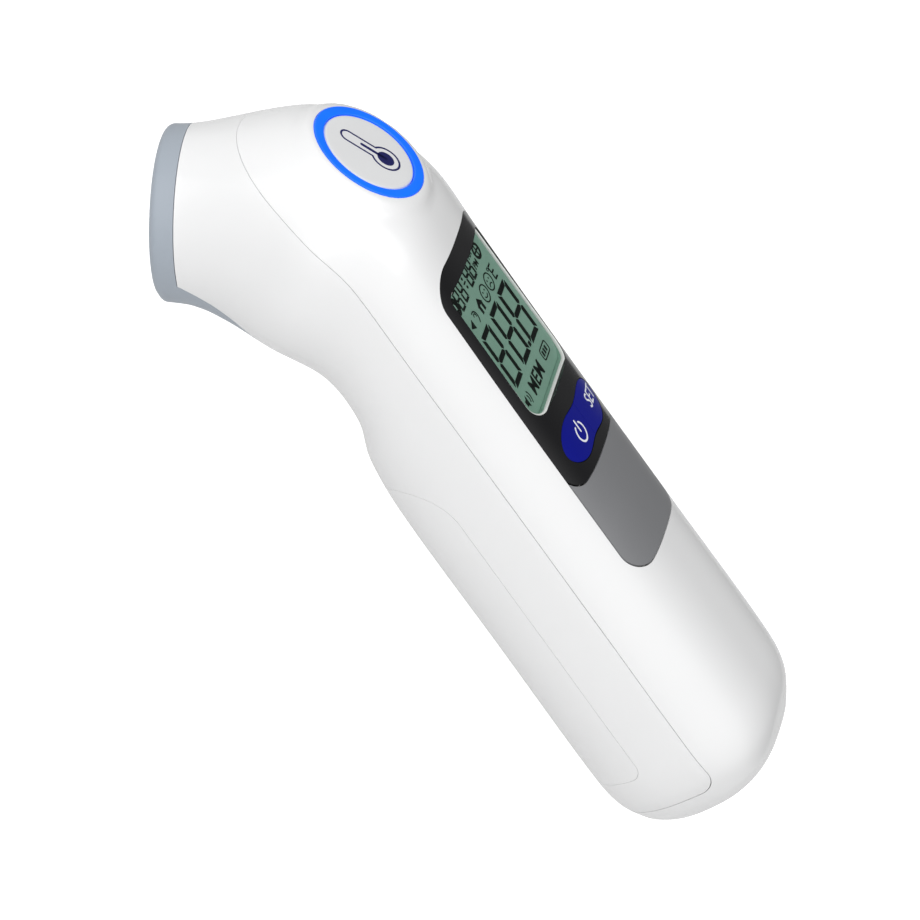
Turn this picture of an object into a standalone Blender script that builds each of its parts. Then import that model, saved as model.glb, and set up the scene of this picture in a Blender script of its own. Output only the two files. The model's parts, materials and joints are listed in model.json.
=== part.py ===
"""Dual-mode infrared thermometer, modelled as an assembly of separate pieces.

Everything is laid out in the handle's own frame, in millimetres: x runs along the handle from the
bend towards its closed end, y across it, and z out of the display face. An empty turns the finished
handle frame so that the thermometer lies on its back, display up, on the plane z = 0.
"""
import math

import bmesh
import bpy
from mathutils import Matrix, Vector

MM = 0.001
GAP = 0.3                       # clearance between pieces that touch

# Casing
WALL = 2.0
HANDLE_HALF_WIDTH = 18.6
HANDLE_DEPTH = 32.1
HANDLE_END = 112.6              # tip of the rounded closed end
END_ROUNDING = 15.6             # length of that rounded end
END_POWER = 2.4                 # superellipse power of the end's outline
END_LEVEL = 18.5                # depth of the tip below the display face
TOP_POWER = 2.8
BACK_POWER = 2.5
WIDEST = 0.47                   # where a section is widest, as a share of its height
SEAM_LEVEL = -10.2
SEAM_END = 105.3
SEAM_CORNER = 3.5
SEAM_HEAD_SLOPE = 0.374
RINGS = 26
RING_POINTS = 32

# Head
HEAD_ANGLE = math.radians(58.5)  # how far the head bends down from the handle's line
NOSE = Vector((-15.6, 0.0, -37.9))  # centre of the cap's front rim
NOSE_RADIUS = 13.9
HEAD_OUT = Vector((-math.cos(HEAD_ANGLE), 0.0, -math.sin(HEAD_ANGLE)))
HEAD_UP = Vector((-math.sin(HEAD_ANGLE), 0.0, math.cos(HEAD_ANGLE)))
CAP_DEPTH = 4.0                 # visible width of the grey cap
CAP_TRAVEL_CLEARANCE = 0.15
SLEEVE_RADIUS = 11.0
SLEEVE_END = 8.5
TAIL_LAYER = 1.2
TAIL_OUTLINE = ((3.0, 12.2), (5.0, 11.8), (8.0, 11.5), (16.0, 11.4), (19.0, 11.1), (21.5, 10.2), (23.2, 7.6),
                (24.2, 4.4), (24.6, 1.2))

# Measure button
BUTTON_TILT = math.radians(25.3)
BUTTON_CENTRE = Vector((-9.3, 0.0, -3.2))
BUTTON_NORMAL = Vector((-math.sin(BUTTON_TILT), 0.0, math.cos(BUTTON_TILT)))
BUTTON_RADIUS = 8.0
RING_INNER = 8.3
RING_OUTER = 9.8
BOSS_RADIUS = 10.8

# Display face
SLOT_START = 10.0
SLOT_END = 69.5
SLOT_HALF_WIDTH = 13.3
PANEL_END = 52.0
PANEL_THICKNESS = 1.0
INLAY_THICKNESS = 1.3
WINDOW_START = 13.8
WINDOW_END = 39.4
WINDOW_HALF_WIDTH = 11.3
BEZEL_WIDTH = 0.55
LCD_MARGIN = 1.1                # from the window's edge in to the liquid-crystal cell
LCD_TOP = -1.95
GUIDE_HALF_WIDTH = 10.9
GUIDE_SETBACK = 4.4             # from the window's start line to the light guide
STRIP_WIDTH = 2.2
LCD_THICKNESS = 1.25
KEY_X = 46.5
KEY_Y = 5.2
KEY_HALF_LENGTH = 3.6
KEY_HALF_WIDTH = 5.2
KEY_WAIST = 0.45                # how far the key pair narrows on each side at its middle

# Boards
BOARD_TOP = -6.3
BOARD_BOTTOM = -7.7
BOARD_START = 9.0
BOARD_END = 62.0
SCREW_SHANK = 0.9
SCREW_HEAD = 1.9

# Screws and the posts that take them: x, y, post's lower end, post's upper end
BOARD_POST = (BOARD_TOP + GAP, -3.9)
TRAY_POST = (-15.7, -2.6)
SCREW_PLACES = (
    (57.0, -10.0, *BOARD_POST),
    (57.0, 10.0, *BOARD_POST),
    (101.0, -7.0, *TRAY_POST),
    (101.0, 7.0, *TRAY_POST),
)

# Batteries, size AAA, side by side
CELL_RADIUS = 5.25
CELL_BODY = 43.6
CELL_NUB = 0.9
CELL_Y = 5.7
CELL_Z = -23.6
BAY_START = 48.6
BAY_END = 97.6
COVER_START = 37.0
COVER_END = 97.4
COVER_TOP = -19.6
COVER_CORNER = 2.0
COVER_HEAD_CORNER = 9.0
COVER_THICKNESS = 1.6


# ---------------------------------------------------------------- helpers

def material(name, colour, roughness, metallic=0.0):
    """A Principled material with one colour."""
    made = bpy.data.materials.get(name) or bpy.data.materials.new(name)
    made.use_nodes = True
    shader = made.node_tree.nodes["Principled BSDF"]
    shader.inputs["Base Color"].default_value = (*colour, 1.0)
    shader.inputs["Roughness"].default_value = roughness
    shader.inputs["Metallic"].default_value = metallic
    made.diffuse_color = (*colour, 1.0)
    return made


def add_object(name, bm, finish=None):
    """Turn a bmesh in millimetres into a named object in metres, faces pointing out."""
    bmesh.ops.recalc_face_normals(bm, faces=bm.faces)
    bmesh.ops.scale(bm, vec=(MM, MM, MM), verts=bm.verts)
    mesh = bpy.data.meshes.new(name)
    bm.to_mesh(mesh)
    bm.free()
    made = bpy.data.objects.new(name, mesh)
    bpy.context.scene.collection.objects.link(made)
    if finish:
        mesh.materials.append(finish)
    mesh.shade_smooth()
    mesh.set_sharp_from_angle(angle=math.radians(35))
    return made


def as_tool(made):
    """Mark an object as a cutter or guide that is not part of the thermometer."""
    made.hide_render = True
    made.display_type = "WIRE"
    return made


def boolean(target, tool, operation="DIFFERENCE"):
    """Add an exact Boolean to the target."""
    step = target.modifiers.new(operation.lower(), "BOOLEAN")
    step.operation = operation
    step.object = tool
    step.solver = "EXACT"


def bridge(bm, rings):
    """Join closed loops of vertices into a solid with flat ends."""
    loops = [[bm.verts.new(point) for point in ring] for ring in rings]
    count = len(loops[0])
    for near, far in zip(loops, loops[1:]):
        for index in range(count):
            after = (index + 1) % count
            bm.faces.new((near[index], near[after], far[after], far[index]))
    bm.faces.new(loops[0])
    bm.faces.new(reversed(loops[-1]))


def box(name, low, high, finish=None):
    """A rectangular block between two corners."""
    bm = bmesh.new()
    centre = (Vector(low) + Vector(high)) / 2
    size = Vector(high) - Vector(low)
    bmesh.ops.create_cube(bm, size=1.0, matrix=Matrix.Translation(centre) @ Matrix.Diagonal((*size, 1.0)))
    return add_object(name, bm, finish)


def prism(name, outline, direction, low, high, finish=None):
    """A flat outline of 3-D points, pushed from low to high along a direction."""
    bm = bmesh.new()
    ends = [[Vector(point) + direction * level for point in outline] for level in (low, high)]
    bridge(bm, ends)
    return add_object(name, bm, finish)


def plan_prism(name, outline, low, high, finish=None):
    """An outline of (x, y) points raised between two z levels."""
    return prism(name, [(x, y, 0.0) for x, y in outline], Vector((0, 0, 1)), low, high, finish)


def side_prism(name, outline, half_width):
    """An outline of (x, z) points pushed across the whole width."""
    return prism(name, [(x, 0.0, z) for x, z in outline], Vector((0, 1, 0)), -half_width, half_width)


def turned(name, centre, axis, profile, sides=32, finish=None):
    """A closed profile of (along the axis, radius) points turned about an axis."""
    axis = axis.normalized()
    across = Vector((0, 1, 0))
    other = axis.cross(across)
    bm = bmesh.new()
    loops = []
    for along, radius in profile:
        loop = []
        for index in range(sides):
            turn = math.tau * index / sides
            spoke = across * math.cos(turn) + other * math.sin(turn)
            loop.append(bm.verts.new(centre + axis * along + spoke * radius))
        loops.append(loop)
    for near, far in zip(loops, loops[1:] + loops[:1]):
        for index in range(sides):
            after = (index + 1) % sides
            bm.faces.new((near[index], near[after], far[after], far[index]))
    return add_object(name, bm, finish)


def rod(name, centre, axis, profile, sides=32, finish=None):
    """A solid of (along the axis, radius) steps with flat ends."""
    axis = axis.normalized()
    across = Vector((0, 1, 0))
    other = axis.cross(across)
    rings = []
    for along, radius in profile:
        ring = []
        for index in range(sides):
            turn = math.tau * index / sides
            ring.append(centre + axis * along + (across * math.cos(turn) + other * math.sin(turn)) * radius)
        rings.append(ring)
    bm = bmesh.new()
    bridge(bm, rings)
    return add_object(name, bm, finish)


def rounded_rectangle(x_low, x_high, half_width, low_corner, high_corner, steps=6):
    """Outline of (x, y) points with its own corner radius at each end."""
    corners = (
        (x_high - high_corner, half_width - high_corner, high_corner, 0.0),
        (x_low + low_corner, half_width - low_corner, low_corner, 90.0),
        (x_low + low_corner, low_corner - half_width, low_corner, 180.0),
        (x_high - high_corner, high_corner - half_width, high_corner, 270.0),
    )
    outline = []
    for x, y, radius, start in corners:
        for step in range(steps + 1):
            turn = math.radians(start + 90.0 * step / steps)
            outline.append((x + radius * math.cos(turn), y + radius * math.sin(turn)))
    return outline


def move_origin(made, point):
    """Put a moving piece's origin on its joint axis."""
    shift = Vector(point) * MM
    made.data.transform(Matrix.Translation(-shift))
    made.location = shift


# ---------------------------------------------------------------- the casing's outer form

def end_stations():
    """Sections of the rounded closed end, from its tip inwards."""
    stations = []
    for share in (0.04, 0.2, 0.4, 0.6, 0.8, 1.0):
        turn = share * math.pi / 2
        along = max(math.cos(turn), 0.0) ** (2 / END_POWER)
        spread = math.sin(turn) ** (2 / END_POWER)
        x = HANDLE_END - END_ROUNDING * (1 - along)
        top = -END_LEVEL * (1 - spread)
        back = -END_LEVEL - (HANDLE_DEPTH - END_LEVEL) * spread
        stations.append((x, top, x, back, HANDLE_HALF_WIDTH * spread,
                         2.2 + (TOP_POWER - 2.2) * spread, 2.2 + (BACK_POWER - 2.2) * spread, WIDEST))
    return stations


def nose_station(depth, radius, top_extra, back_extra):
    """A round section of the nose at a depth behind the rim."""
    centre = NOSE - HEAD_OUT * depth
    top = centre + HEAD_UP * (radius + top_extra)
    back = centre - HEAD_UP * (radius + back_extra)
    return (top.x, top.z, back.x, back.z, radius, 2.0, 2.0, 0.5)


def casing_stations():
    """Sections along the whole casing: top x z, back x z, half width, two powers, widest level."""
    width = HANDLE_HALF_WIDTH
    depth = HANDLE_DEPTH
    middle = [
        (70.0, 0.0, 70.0, -depth, width, TOP_POWER, BACK_POWER, WIDEST),
        (45.0, 0.0, 43.0, -depth, width, TOP_POWER, BACK_POWER, WIDEST),
        (30.0, 0.0, 33.0, -31.0, width, TOP_POWER, BACK_POWER, WIDEST),
        (14.0, 0.0, 26.0, -28.4, width, TOP_POWER, BACK_POWER, WIDEST),
        (1.0, 0.4, 18.0, -29.2, 18.6, 2.6, 2.3, 0.48),
        (-9.3, -3.2, 9.5, -33.8, 19.4, 2.5, 2.2, 0.5),
        (-18.5, -8.8, 3.6, -38.0, 16.2, 2.3, 2.1, 0.5),
    ]
    nose = [nose_station(5.0, 13.6, 1.0, 1.0), nose_station(0.0, NOSE_RADIUS, 0.0, 0.0)]
    return end_stations() + middle + nose


def blend(stations, count):
    """Smooth sections between the stations, by cubic Hermite pieces."""
    places = [0.0]
    for before, after in zip(stations, stations[1:]):
        middle_before = Vector((before[0] + before[2], before[1] + before[3])) / 2
        middle_after = Vector((after[0] + after[2], after[1] + after[3])) / 2
        step = (middle_after - middle_before).length + 0.3 * abs(after[4] - before[4]) + 0.05
        places.append(places[-1] + step)
    slopes = []
    last = len(stations) - 1
    for index in range(len(stations)):
        low = max(index - 1, 0)
        high = min(index + 1, last)
        span = places[high] - places[low]
        slopes.append([(b - a) / span for a, b in zip(stations[low], stations[high])])
    wanted = sorted(set(places) | {places[-1] * step / count for step in range(count + 1)})
    wanted = [place for index, place in enumerate(wanted) if index == 0 or place - wanted[index - 1] > 0.4]
    sections = []
    for place in wanted:
        piece = max(index for index in range(last) if places[index] <= place)
        span = places[piece + 1] - places[piece]
        t = (place - places[piece]) / span
        weights = (2 * t**3 - 3 * t**2 + 1, (t**3 - 2 * t**2 + t) * span,
                   3 * t**2 - 2 * t**3, (t**3 - t**2) * span)
        columns = zip(stations[piece], slopes[piece], stations[piece + 1], slopes[piece + 1])
        sections.append([sum(w * value for w, value in zip(weights, column)) for column in columns])
    return sections


def signed_power(value, power):
    return math.copysign(abs(value) ** power, value)


def section_ring(section, inset, points):
    """Points round one section, moved inwards by the inset."""
    top_x, top_z, back_x, back_z, half_width, top_power, back_power, widest = section
    top = Vector((top_x, 0, top_z))
    back = Vector((back_x, 0, back_z))
    middle = top.lerp(back, widest)
    up = (top - middle) * (1 - inset / (top - middle).length)
    down = (middle - back) * (1 - inset / (middle - back).length)
    ring = []
    for index in range(points):
        turn = math.tau * (index + 0.5) / points
        rise = math.cos(turn)
        power = top_power if rise > 0 else back_power
        side = signed_power(math.sin(turn), 2 / power) * (half_width - inset)
        lift = signed_power(rise, 2 / power)
        ring.append(middle + (up if rise > 0 else down) * lift + Vector((0, side, 0)))
    return ring


def casing_solid(name, inset=0.0, count=RINGS, points=RING_POINTS):
    """The casing's outer form as one solid, or the same form a little inside it."""
    sections = blend(casing_stations(), count)
    if inset:
        sections = [section for section in sections if section[4] > inset + 2.5 and section[0] < HANDLE_END - inset]
    rings = [section_ring(section, inset, points) for section in sections]
    if inset:
        rings[-1] = [point + HEAD_OUT * (0.5 + inset) for point in rings[-1]]
    bm = bmesh.new()
    bridge(bm, rings)
    return as_tool(add_object(name, bm))


def layer(name, thickness, outer_inset=0.0, finish=None, count=RINGS, points=RING_POINTS):
    """A skin of the casing's form: what lies between two insets."""
    skin = casing_solid(name, outer_inset)
    skin.hide_render = False
    skin.display_type = "TEXTURED"
    if finish:
        skin.data.materials.append(finish)
    boolean(skin, casing_solid(name + "_core", outer_inset + thickness, count, points))
    return skin


# ---------------------------------------------------------------- outlines shared by several pieces

def seam_line(drop):
    """The seam between the two shells, seen from the side, lowered by a drop."""
    far = -45.0
    points = [(far, SEAM_LEVEL + SEAM_HEAD_SLOPE * far - drop)]
    for x in (-4.0, -1.5, 1.5, 4.0):
        bend = (x - 4.0) ** 2 / 16.0
        points.append((x, SEAM_LEVEL - SEAM_HEAD_SLOPE * bend - drop))
    corner_x = SEAM_END - SEAM_CORNER
    corner_z = SEAM_LEVEL - SEAM_CORNER
    for step in range(7):
        turn = math.radians(90.0 - 15.0 * step)
        radius = SEAM_CORNER - drop
        points.append((corner_x + radius * math.cos(turn), corner_z + radius * math.sin(turn)))
    points.append((SEAM_END - 1.8 - drop, -40.0))
    return points


def upper_region():
    outline = seam_line(0.0) + [(130.0, -40.0), (130.0, 20.0), (-45.0, 20.0)]
    return as_tool(side_prism("upper_region", outline, 40.0))


def lower_region():
    outline = seam_line(GAP) + [(-45.0, -60.0)]
    outline.insert(-1, (SEAM_END - 2.2, -60.0))
    return as_tool(side_prism("lower_region", outline, 40.0))


def behind_nose(name, depth):
    """A block that takes everything in front of a plane across the head."""
    side = 40.0
    corners = [NOSE - HEAD_OUT * depth + HEAD_UP * a + Vector((0, b, 0))
               for a, b in ((side, side), (side, -side), (-side, -side), (-side, side))]
    return as_tool(prism(name, corners, HEAD_OUT, 0.0, 40.0))


def tail_prism(name, grow):
    """The cap's tapering tail under the head, as a block pointing out of the head's underside."""
    side = [(depth, width + grow) for depth, width in TAIL_OUTLINE]
    side[-1] = (side[-1][0] + grow, side[-1][1])
    outline = side + [(depth, -width) for depth, width in reversed(side)]
    flat = [NOSE - HEAD_OUT * depth + Vector((0, y, 0)) for depth, y in outline]
    return as_tool(prism(name, flat, -HEAD_UP, 3.0, 40.0))


def slot_outline(shrink):
    return rounded_rectangle(SLOT_START + shrink, SLOT_END - shrink, SLOT_HALF_WIDTH - shrink, 5.5, 5.0)


def panel_outline(shrink):
    return rounded_rectangle(SLOT_START + shrink, PANEL_END - shrink, SLOT_HALF_WIDTH - shrink, 5.5, 3.5)


def window_outline(shrink):
    return rounded_rectangle(WINDOW_START + shrink, WINDOW_END - shrink, WINDOW_HALF_WIDTH - shrink, 1.5, 3.0)


def key_outline(side, grow):
    """One half of the key pair: a round end, a shallow waist and a flat side next to its neighbour."""
    flat = GAP / 2 - grow
    outline = []
    for step in range(13):
        turn = math.pi * step / 12
        outline.append((KEY_X + (KEY_HALF_LENGTH + grow) * math.cos(turn),
                        side * (KEY_Y + (KEY_HALF_WIDTH + grow) * math.sin(turn))))
    for edge, levels in ((-1, (0.67, 0.33, 0.0)), (1, (0.0, 0.33, 0.67))):
        for level in levels:
            waist = KEY_WAIST * math.cos(level * math.pi / 2) ** 2
            outline.append((KEY_X + edge * (KEY_HALF_LENGTH - waist + grow),
                            side * (flat + (KEY_Y - flat) * level)))
    return outline


def cover_outline(grow):
    """The battery cover seen from the side."""
    low_x = COVER_START - grow
    high_x = COVER_END + grow
    top = COVER_TOP + grow
    near = COVER_CORNER + grow
    head = COVER_HEAD_CORNER + grow
    outline = [(high_x, -45.0)]
    for centre_x, corner, start in ((high_x - near, near, 0.0), (low_x + head, head, 90.0)):
        for step in range(6):
            turn = math.radians(start + 18.0 * step)
            outline.append((centre_x + corner * math.cos(turn), top - corner + corner * math.sin(turn)))
    outline.append((low_x, -45.0))
    return outline


# ---------------------------------------------------------------- casing pieces

def hollow_casing(name, finish):
    """The whole casing as a hollow skin, before it is divided."""
    shell = layer(name, WALL, 0.0, finish, 20, 24)
    boolean(shell, behind_nose(name + "_mouth", CAP_DEPTH + CAP_TRAVEL_CLEARANCE))
    return shell


def post(name, x, y, low, high, radius=2.5):
    return as_tool(rod(name, Vector((x, y, low)), Vector((0, 0, 1)), ((0, radius), (high - low, radius)), 16))


def top_shell():
    shell = hollow_casing("top_shell", material("white_shell", (0.86, 0.87, 0.88), 0.25))
    boolean(shell, upper_region(), "INTERSECT")
    pad = rod("button_pad", BUTTON_CENTRE, BUTTON_NORMAL, ((-5.0, BOSS_RADIUS), (0.0, BOSS_RADIUS)), 40)
    boolean(shell, as_tool(pad), "UNION")
    hole = rod("button_hole", BUTTON_CENTRE, BUTTON_NORMAL,
               ((-9.0, RING_OUTER + GAP), (6.0, RING_OUTER + GAP)), 40)
    boolean(shell, as_tool(hole))
    boolean(shell, as_tool(plan_prism("panel_slot", panel_outline(0.0), -9.0, 6.0)))
    pocket = plan_prism("inlay_pocket", slot_outline(0.0), -9.0, 6.0)
    boolean(pocket, casing_solid("pocket_floor", INLAY_THICKNESS + GAP / 2))
    boolean(shell, as_tool(pocket))
    for index, (x, y, low, high) in enumerate(SCREW_PLACES):
        boolean(shell, post(f"post_{index}", x, y, low, high), "UNION")
        boolean(shell, post(f"bore_{index}", x, y, low - 1.0, high - 0.6, SCREW_SHANK + GAP))
    return shell


def bottom_shell():
    shell = hollow_casing("bottom_shell", material("white_back", (0.82, 0.83, 0.85), 0.3))
    boolean(shell, lower_region(), "INTERSECT")
    boolean(shell, as_tool(side_prism("cover_opening", cover_outline(GAP), 40.0)))
    groove = tail_prism("tail_groove", GAP)
    boolean(groove, casing_solid("groove_floor", TAIL_LAYER + GAP))
    boolean(shell, groove)
    return shell


def battery_cover():
    cover = layer("battery_cover", COVER_THICKNESS, 0.0, material("white_cover", (0.83, 0.84, 0.86), 0.3))
    boolean(cover, as_tool(side_prism("cover_region", cover_outline(0.0), 40.0)), "INTERSECT")
    move_origin(cover, ((COVER_START + COVER_END) / 2, 0.0, -HANDLE_DEPTH))
    return cover


def forehead_cap():
    """Front band, inner sleeve and under-head tail in one moulding."""
    cap = layer("forehead_cap", TAIL_LAYER, 0.0, material("grey_cap", (0.35, 0.39, 0.43), 0.45))
    region = behind_nose("cap_region", CAP_DEPTH - CAP_TRAVEL_CLEARANCE)
    boolean(region, tail_prism("cap_tail", 0.0), "UNION")
    boolean(cap, region, "INTERSECT")
    boolean(cap, as_tool(rod("cap_front", NOSE, HEAD_OUT, ((-1.4, 13.0), (-0.1, 13.3)), 40)), "UNION")
    sleeve = turned("cap_sleeve", NOSE, HEAD_OUT,
                    ((-SLEEVE_END, SLEEVE_RADIUS), (-SLEEVE_END, 9.8), (-1.0, 9.8), (-1.0, SLEEVE_RADIUS)), 40)
    boolean(cap, as_tool(sleeve), "UNION")
    boolean(cap, as_tool(rod("cap_mouth", NOSE, HEAD_OUT, ((-4.0, 6.2), (4.0, 6.2)), 32)))
    move_origin(cap, NOSE)
    return cap


# ---------------------------------------------------------------- display, keys and inlay

def display_panel():
    panel = layer("display_panel", PANEL_THICKNESS, 0.0, material("black_gloss", (0.012, 0.012, 0.013), 0.12))
    boolean(panel, as_tool(plan_prism("panel_region", panel_outline(GAP), -9.0, 6.0)), "INTERSECT")
    boolean(panel, as_tool(plan_prism("window_cut", window_outline(0.0), -9.0, 6.0)))
    for side in (-1, 1):
        boolean(panel, as_tool(plan_prism(f"key_cut_{side}", key_outline(side, GAP), -9.0, 6.0)))
    return panel


def display_bezel():
    bezel = layer("display_bezel", 1.6, 0.1, material("pale_bezel", (0.7, 0.72, 0.7), 0.4))
    boolean(bezel, as_tool(plan_prism("bezel_region", window_outline(GAP), -2.7, 6.0)), "INTERSECT")
    boolean(bezel, as_tool(plan_prism("bezel_cut", window_outline(GAP + BEZEL_WIDTH), -9.0, 6.0)))
    return bezel


def display_lens():
    lens = layer("display_lens", 0.35, 0.15, material("clear_lens", (0.8, 0.85, 0.85), 0.05))
    boolean(lens, as_tool(plan_prism("lens_region", window_outline(LCD_MARGIN), -3.0, 6.0)), "INTERSECT")
    return lens


def inlay():
    piece = layer("handle_inlay", INLAY_THICKNESS - 0.15, 0.0, material("grey_inlay", (0.18, 0.195, 0.2), 0.4))
    boolean(piece, as_tool(plan_prism("inlay_region", slot_outline(GAP), -9.0, 6.0)), "INTERSECT")
    boolean(piece, as_tool(plan_prism("inlay_end", panel_outline(-GAP), -9.0, 6.0)))
    return piece


def key(name, side):
    cap = layer(name, 2.6, 0.2, material("blue_key", (0.004, 0.01, 0.26), 0.35))
    boolean(cap, as_tool(plan_prism(name + "_region", key_outline(side, 0.0), -3.9, 6.0)), "INTERSECT")
    stem = rod(name + "_stem", Vector((KEY_X, side * KEY_Y, -4.2)), Vector((0, 0, 1)), ((0, 1.2), (2.0, 1.2)), 16)
    boolean(cap, as_tool(stem), "UNION")
    move_origin(cap, (KEY_X, side * KEY_Y, 0.0))
    return cap


def display_stack():
    """Liquid-crystal cell, its light guide, contact strip and the frame that carries them."""
    half = GUIDE_HALF_WIDTH
    start = WINDOW_START - 0.6
    end = WINDOW_END + 0.4
    under = LCD_TOP - LCD_THICKNESS
    plan_prism("lcd_glass", window_outline(LCD_MARGIN), under, LCD_TOP, material("lcd", (0.21, 0.37, 0.29), 0.2))
    box("backlight_guide", (start + GUIDE_SETBACK, -half, under - 1.5), (end, half, under - GAP),
        material("light_guide", (0.9, 0.92, 0.9), 0.3))
    strip_end = start + GUIDE_SETBACK - GAP
    box("contact_strip", (strip_end - STRIP_WIDTH, -half + 1.5, BOARD_TOP + GAP),
        (strip_end, half - 1.5, under - GAP), material("contact_rubber", (0.35, 0.1, 0.12), 0.7))
    frame = box("display_frame", (start - 2.0, -half - 1.7, BOARD_TOP + GAP), (end + 2.0, half + 1.7, -4.9),
                material("frame_white", (0.75, 0.76, 0.75), 0.5))
    boolean(frame, as_tool(box("frame_cut", (start - GAP, -half - GAP, -9.0), (end + GAP, half + GAP, 0.0))))


def switch(name, x, y, base, size, height, finish):
    """A tactile switch: a square can with its round actuator."""
    can = box(name, (x - size / 2, y - size / 2, base), (x + size / 2, y + size / 2, base + height), finish)
    nib = rod(name + "_nib", Vector((x, y, base)), Vector((0, 0, 1)), ((0, size / 4), (height + 0.35, size / 4)), 16)
    boolean(can, as_tool(nib), "UNION")
    return can


def boards():
    green = material("board_green", (0.02, 0.16, 0.06), 0.45)
    half = 13.2
    board = box("main_board", (BOARD_START, -half, BOARD_BOTTOM), (BOARD_END, half, BOARD_TOP), green)
    for index, (x, y, *_) in enumerate(SCREW_PLACES[:2]):
        boolean(board, post(f"board_hole_{index}", x, y, -12.0, 0.0, SCREW_SHANK + GAP))
    low = BOARD_BOTTOM - GAP
    dark = material("chip_black", (0.02, 0.02, 0.02), 0.5)
    box("microcontroller", (27.0, -4.5, low - 1.4), (36.0, 4.5, low), dark)
    rod("buzzer", Vector((19.0, 4.0, low)), Vector((0, 0, -1)), ((0, 5.0), (3.0, 5.0)), 32, dark)
    can = material("switch_can", (0.1, 0.1, 0.11), 0.4)
    for name, side in (("power_switch", -1), ("set_switch", 1)):
        switch(name, KEY_X, side * KEY_Y, BOARD_TOP + GAP, 4.4, 0.9, can)


# ---------------------------------------------------------------- measure button

def measure_button():
    ring = material("blue_ring", (0.0, 0.19, 1.0), 0.3)
    turned("button_light_ring", BUTTON_CENTRE, BUTTON_NORMAL,
           ((-4.0, RING_INNER), (0.0, RING_INNER), (0.15, RING_INNER + 0.3), (0.15, RING_OUTER - 0.3),
            (0.0, RING_OUTER), (-4.0, RING_OUTER)), 48, ring)
    button = rod("measure_button", BUTTON_CENTRE, BUTTON_NORMAL,
                 ((-6.4, 1.8), (-2.8, 1.8), (-2.8, BUTTON_RADIUS), (-0.1, BUTTON_RADIUS),
                  (0.2, BUTTON_RADIUS - 0.35)), 48, material("button_face", (0.72, 0.73, 0.73), 0.3))
    move_origin(button, BUTTON_CENTRE)
    board_level = -10.6
    along = BUTTON_NORMAL.cross(Vector((0, 1, 0)))
    centre = BUTTON_CENTRE + BUTTON_NORMAL * board_level
    corners = [centre + along * a + Vector((0, b, 0)) for a, b in ((-7.5, -9), (-7.5, 9), (7.5, 9), (7.5, -9))]
    prism("button_board", corners, BUTTON_NORMAL, -1.2, 0.0, bpy.data.materials["board_green"])
    can = [centre + along * a + Vector((0, b, 0)) for a, b in ((-3, -3), (-3, 3), (3, 3), (3, -3))]
    body = prism("measure_switch", can, BUTTON_NORMAL, GAP, 2.2, bpy.data.materials["switch_can"])
    nib = rod("measure_nib", centre, BUTTON_NORMAL, ((1.0, 1.5), (3.1, 1.5)), 16)
    boolean(body, as_tool(nib), "UNION")


# ---------------------------------------------------------------- probe and sensor

def probe():
    grey = material("probe_white", (0.78, 0.79, 0.8), 0.35)
    inwards = -HEAD_OUT
    turned("ear_probe", NOSE, inwards,
           ((1.9, 3.0), (1.9, 3.8), (2.4, 4.3), (8.0, 5.6), (12.0, 7.4), (12.6, 9.6), (14.2, 9.6), (14.2, 3.0)),
           40, grey)
    rod("probe_window", NOSE, inwards, ((2.3, 2.7), (2.9, 2.7)), 32, material("sensor_window", (0.05, 0.04, 0.06), 0.1))
    turned("waveguide", NOSE, inwards, ((3.2, 2.0), (3.2, 2.7), (13.2, 2.7), (13.2, 2.0)), 32,
           material("gold", (0.9, 0.65, 0.25), 0.2, 1.0))
    turned("sensor_holder", NOSE, inwards, ((14.5, 2.8), (14.5, 6.4), (19.2, 6.4), (19.2, 2.8)), 32,
           material("brass", (0.7, 0.5, 0.22), 0.35, 1.0))
    rod("thermopile_sensor", NOSE, inwards, ((14.6, 2.4), (18.4, 2.4), (18.4, 2.5), (19.0, 2.5)), 32,
        material("sensor_can", (0.6, 0.6, 0.6), 0.25, 1.0))
    rod("sensor_board", NOSE, inwards, ((19.5, 6.4), (20.5, 6.4)), 32, bpy.data.materials["board_green"])


def ribbon(name, path, half_width, thickness, finish):
    """A flat flexible lead that follows a path of (x, z) points."""
    bm = bmesh.new()
    rings = []
    for index, (x, z) in enumerate(path):
        before = Vector(path[max(index - 1, 0)])
        after = Vector(path[min(index + 1, len(path) - 1)])
        run = (after - before).normalized()
        lift = Vector((-run.y, 0, run.x)) * thickness / 2
        here = Vector((x, 0, z))
        wide = Vector((0, half_width, 0))
        rings.append([here - lift - wide, here + lift - wide, here + lift + wide, here - lift + wide])
    bridge(bm, rings)
    return add_object(name, bm, finish)


def bent_path(start, middle, end, steps=10):
    """A smooth quadratic curve from start to end, pulled towards the middle point."""
    path = []
    for step in range(steps + 1):
        t = step / steps
        path.append(tuple((1 - t) ** 2 * a + 2 * t * (1 - t) * b + t * t * c
                          for a, b, c in zip(start, middle, end)))
    return path


def ribbons():
    amber = material("flex_amber", (0.45, 0.2, 0.03), 0.4)
    back = NOSE - HEAD_OUT * 20.9
    ribbon("sensor_flex", bent_path((back.x, back.z), (2.0, -9.5), (13.0, BOARD_BOTTOM - 0.5)), 3.0, 0.3, amber)
    ribbon("button_flex", bent_path((2.9, -9.8), (5.0, -8.8), (8.4, -7.1), 6), 3.0, 0.3, amber)


# ---------------------------------------------------------------- power

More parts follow.
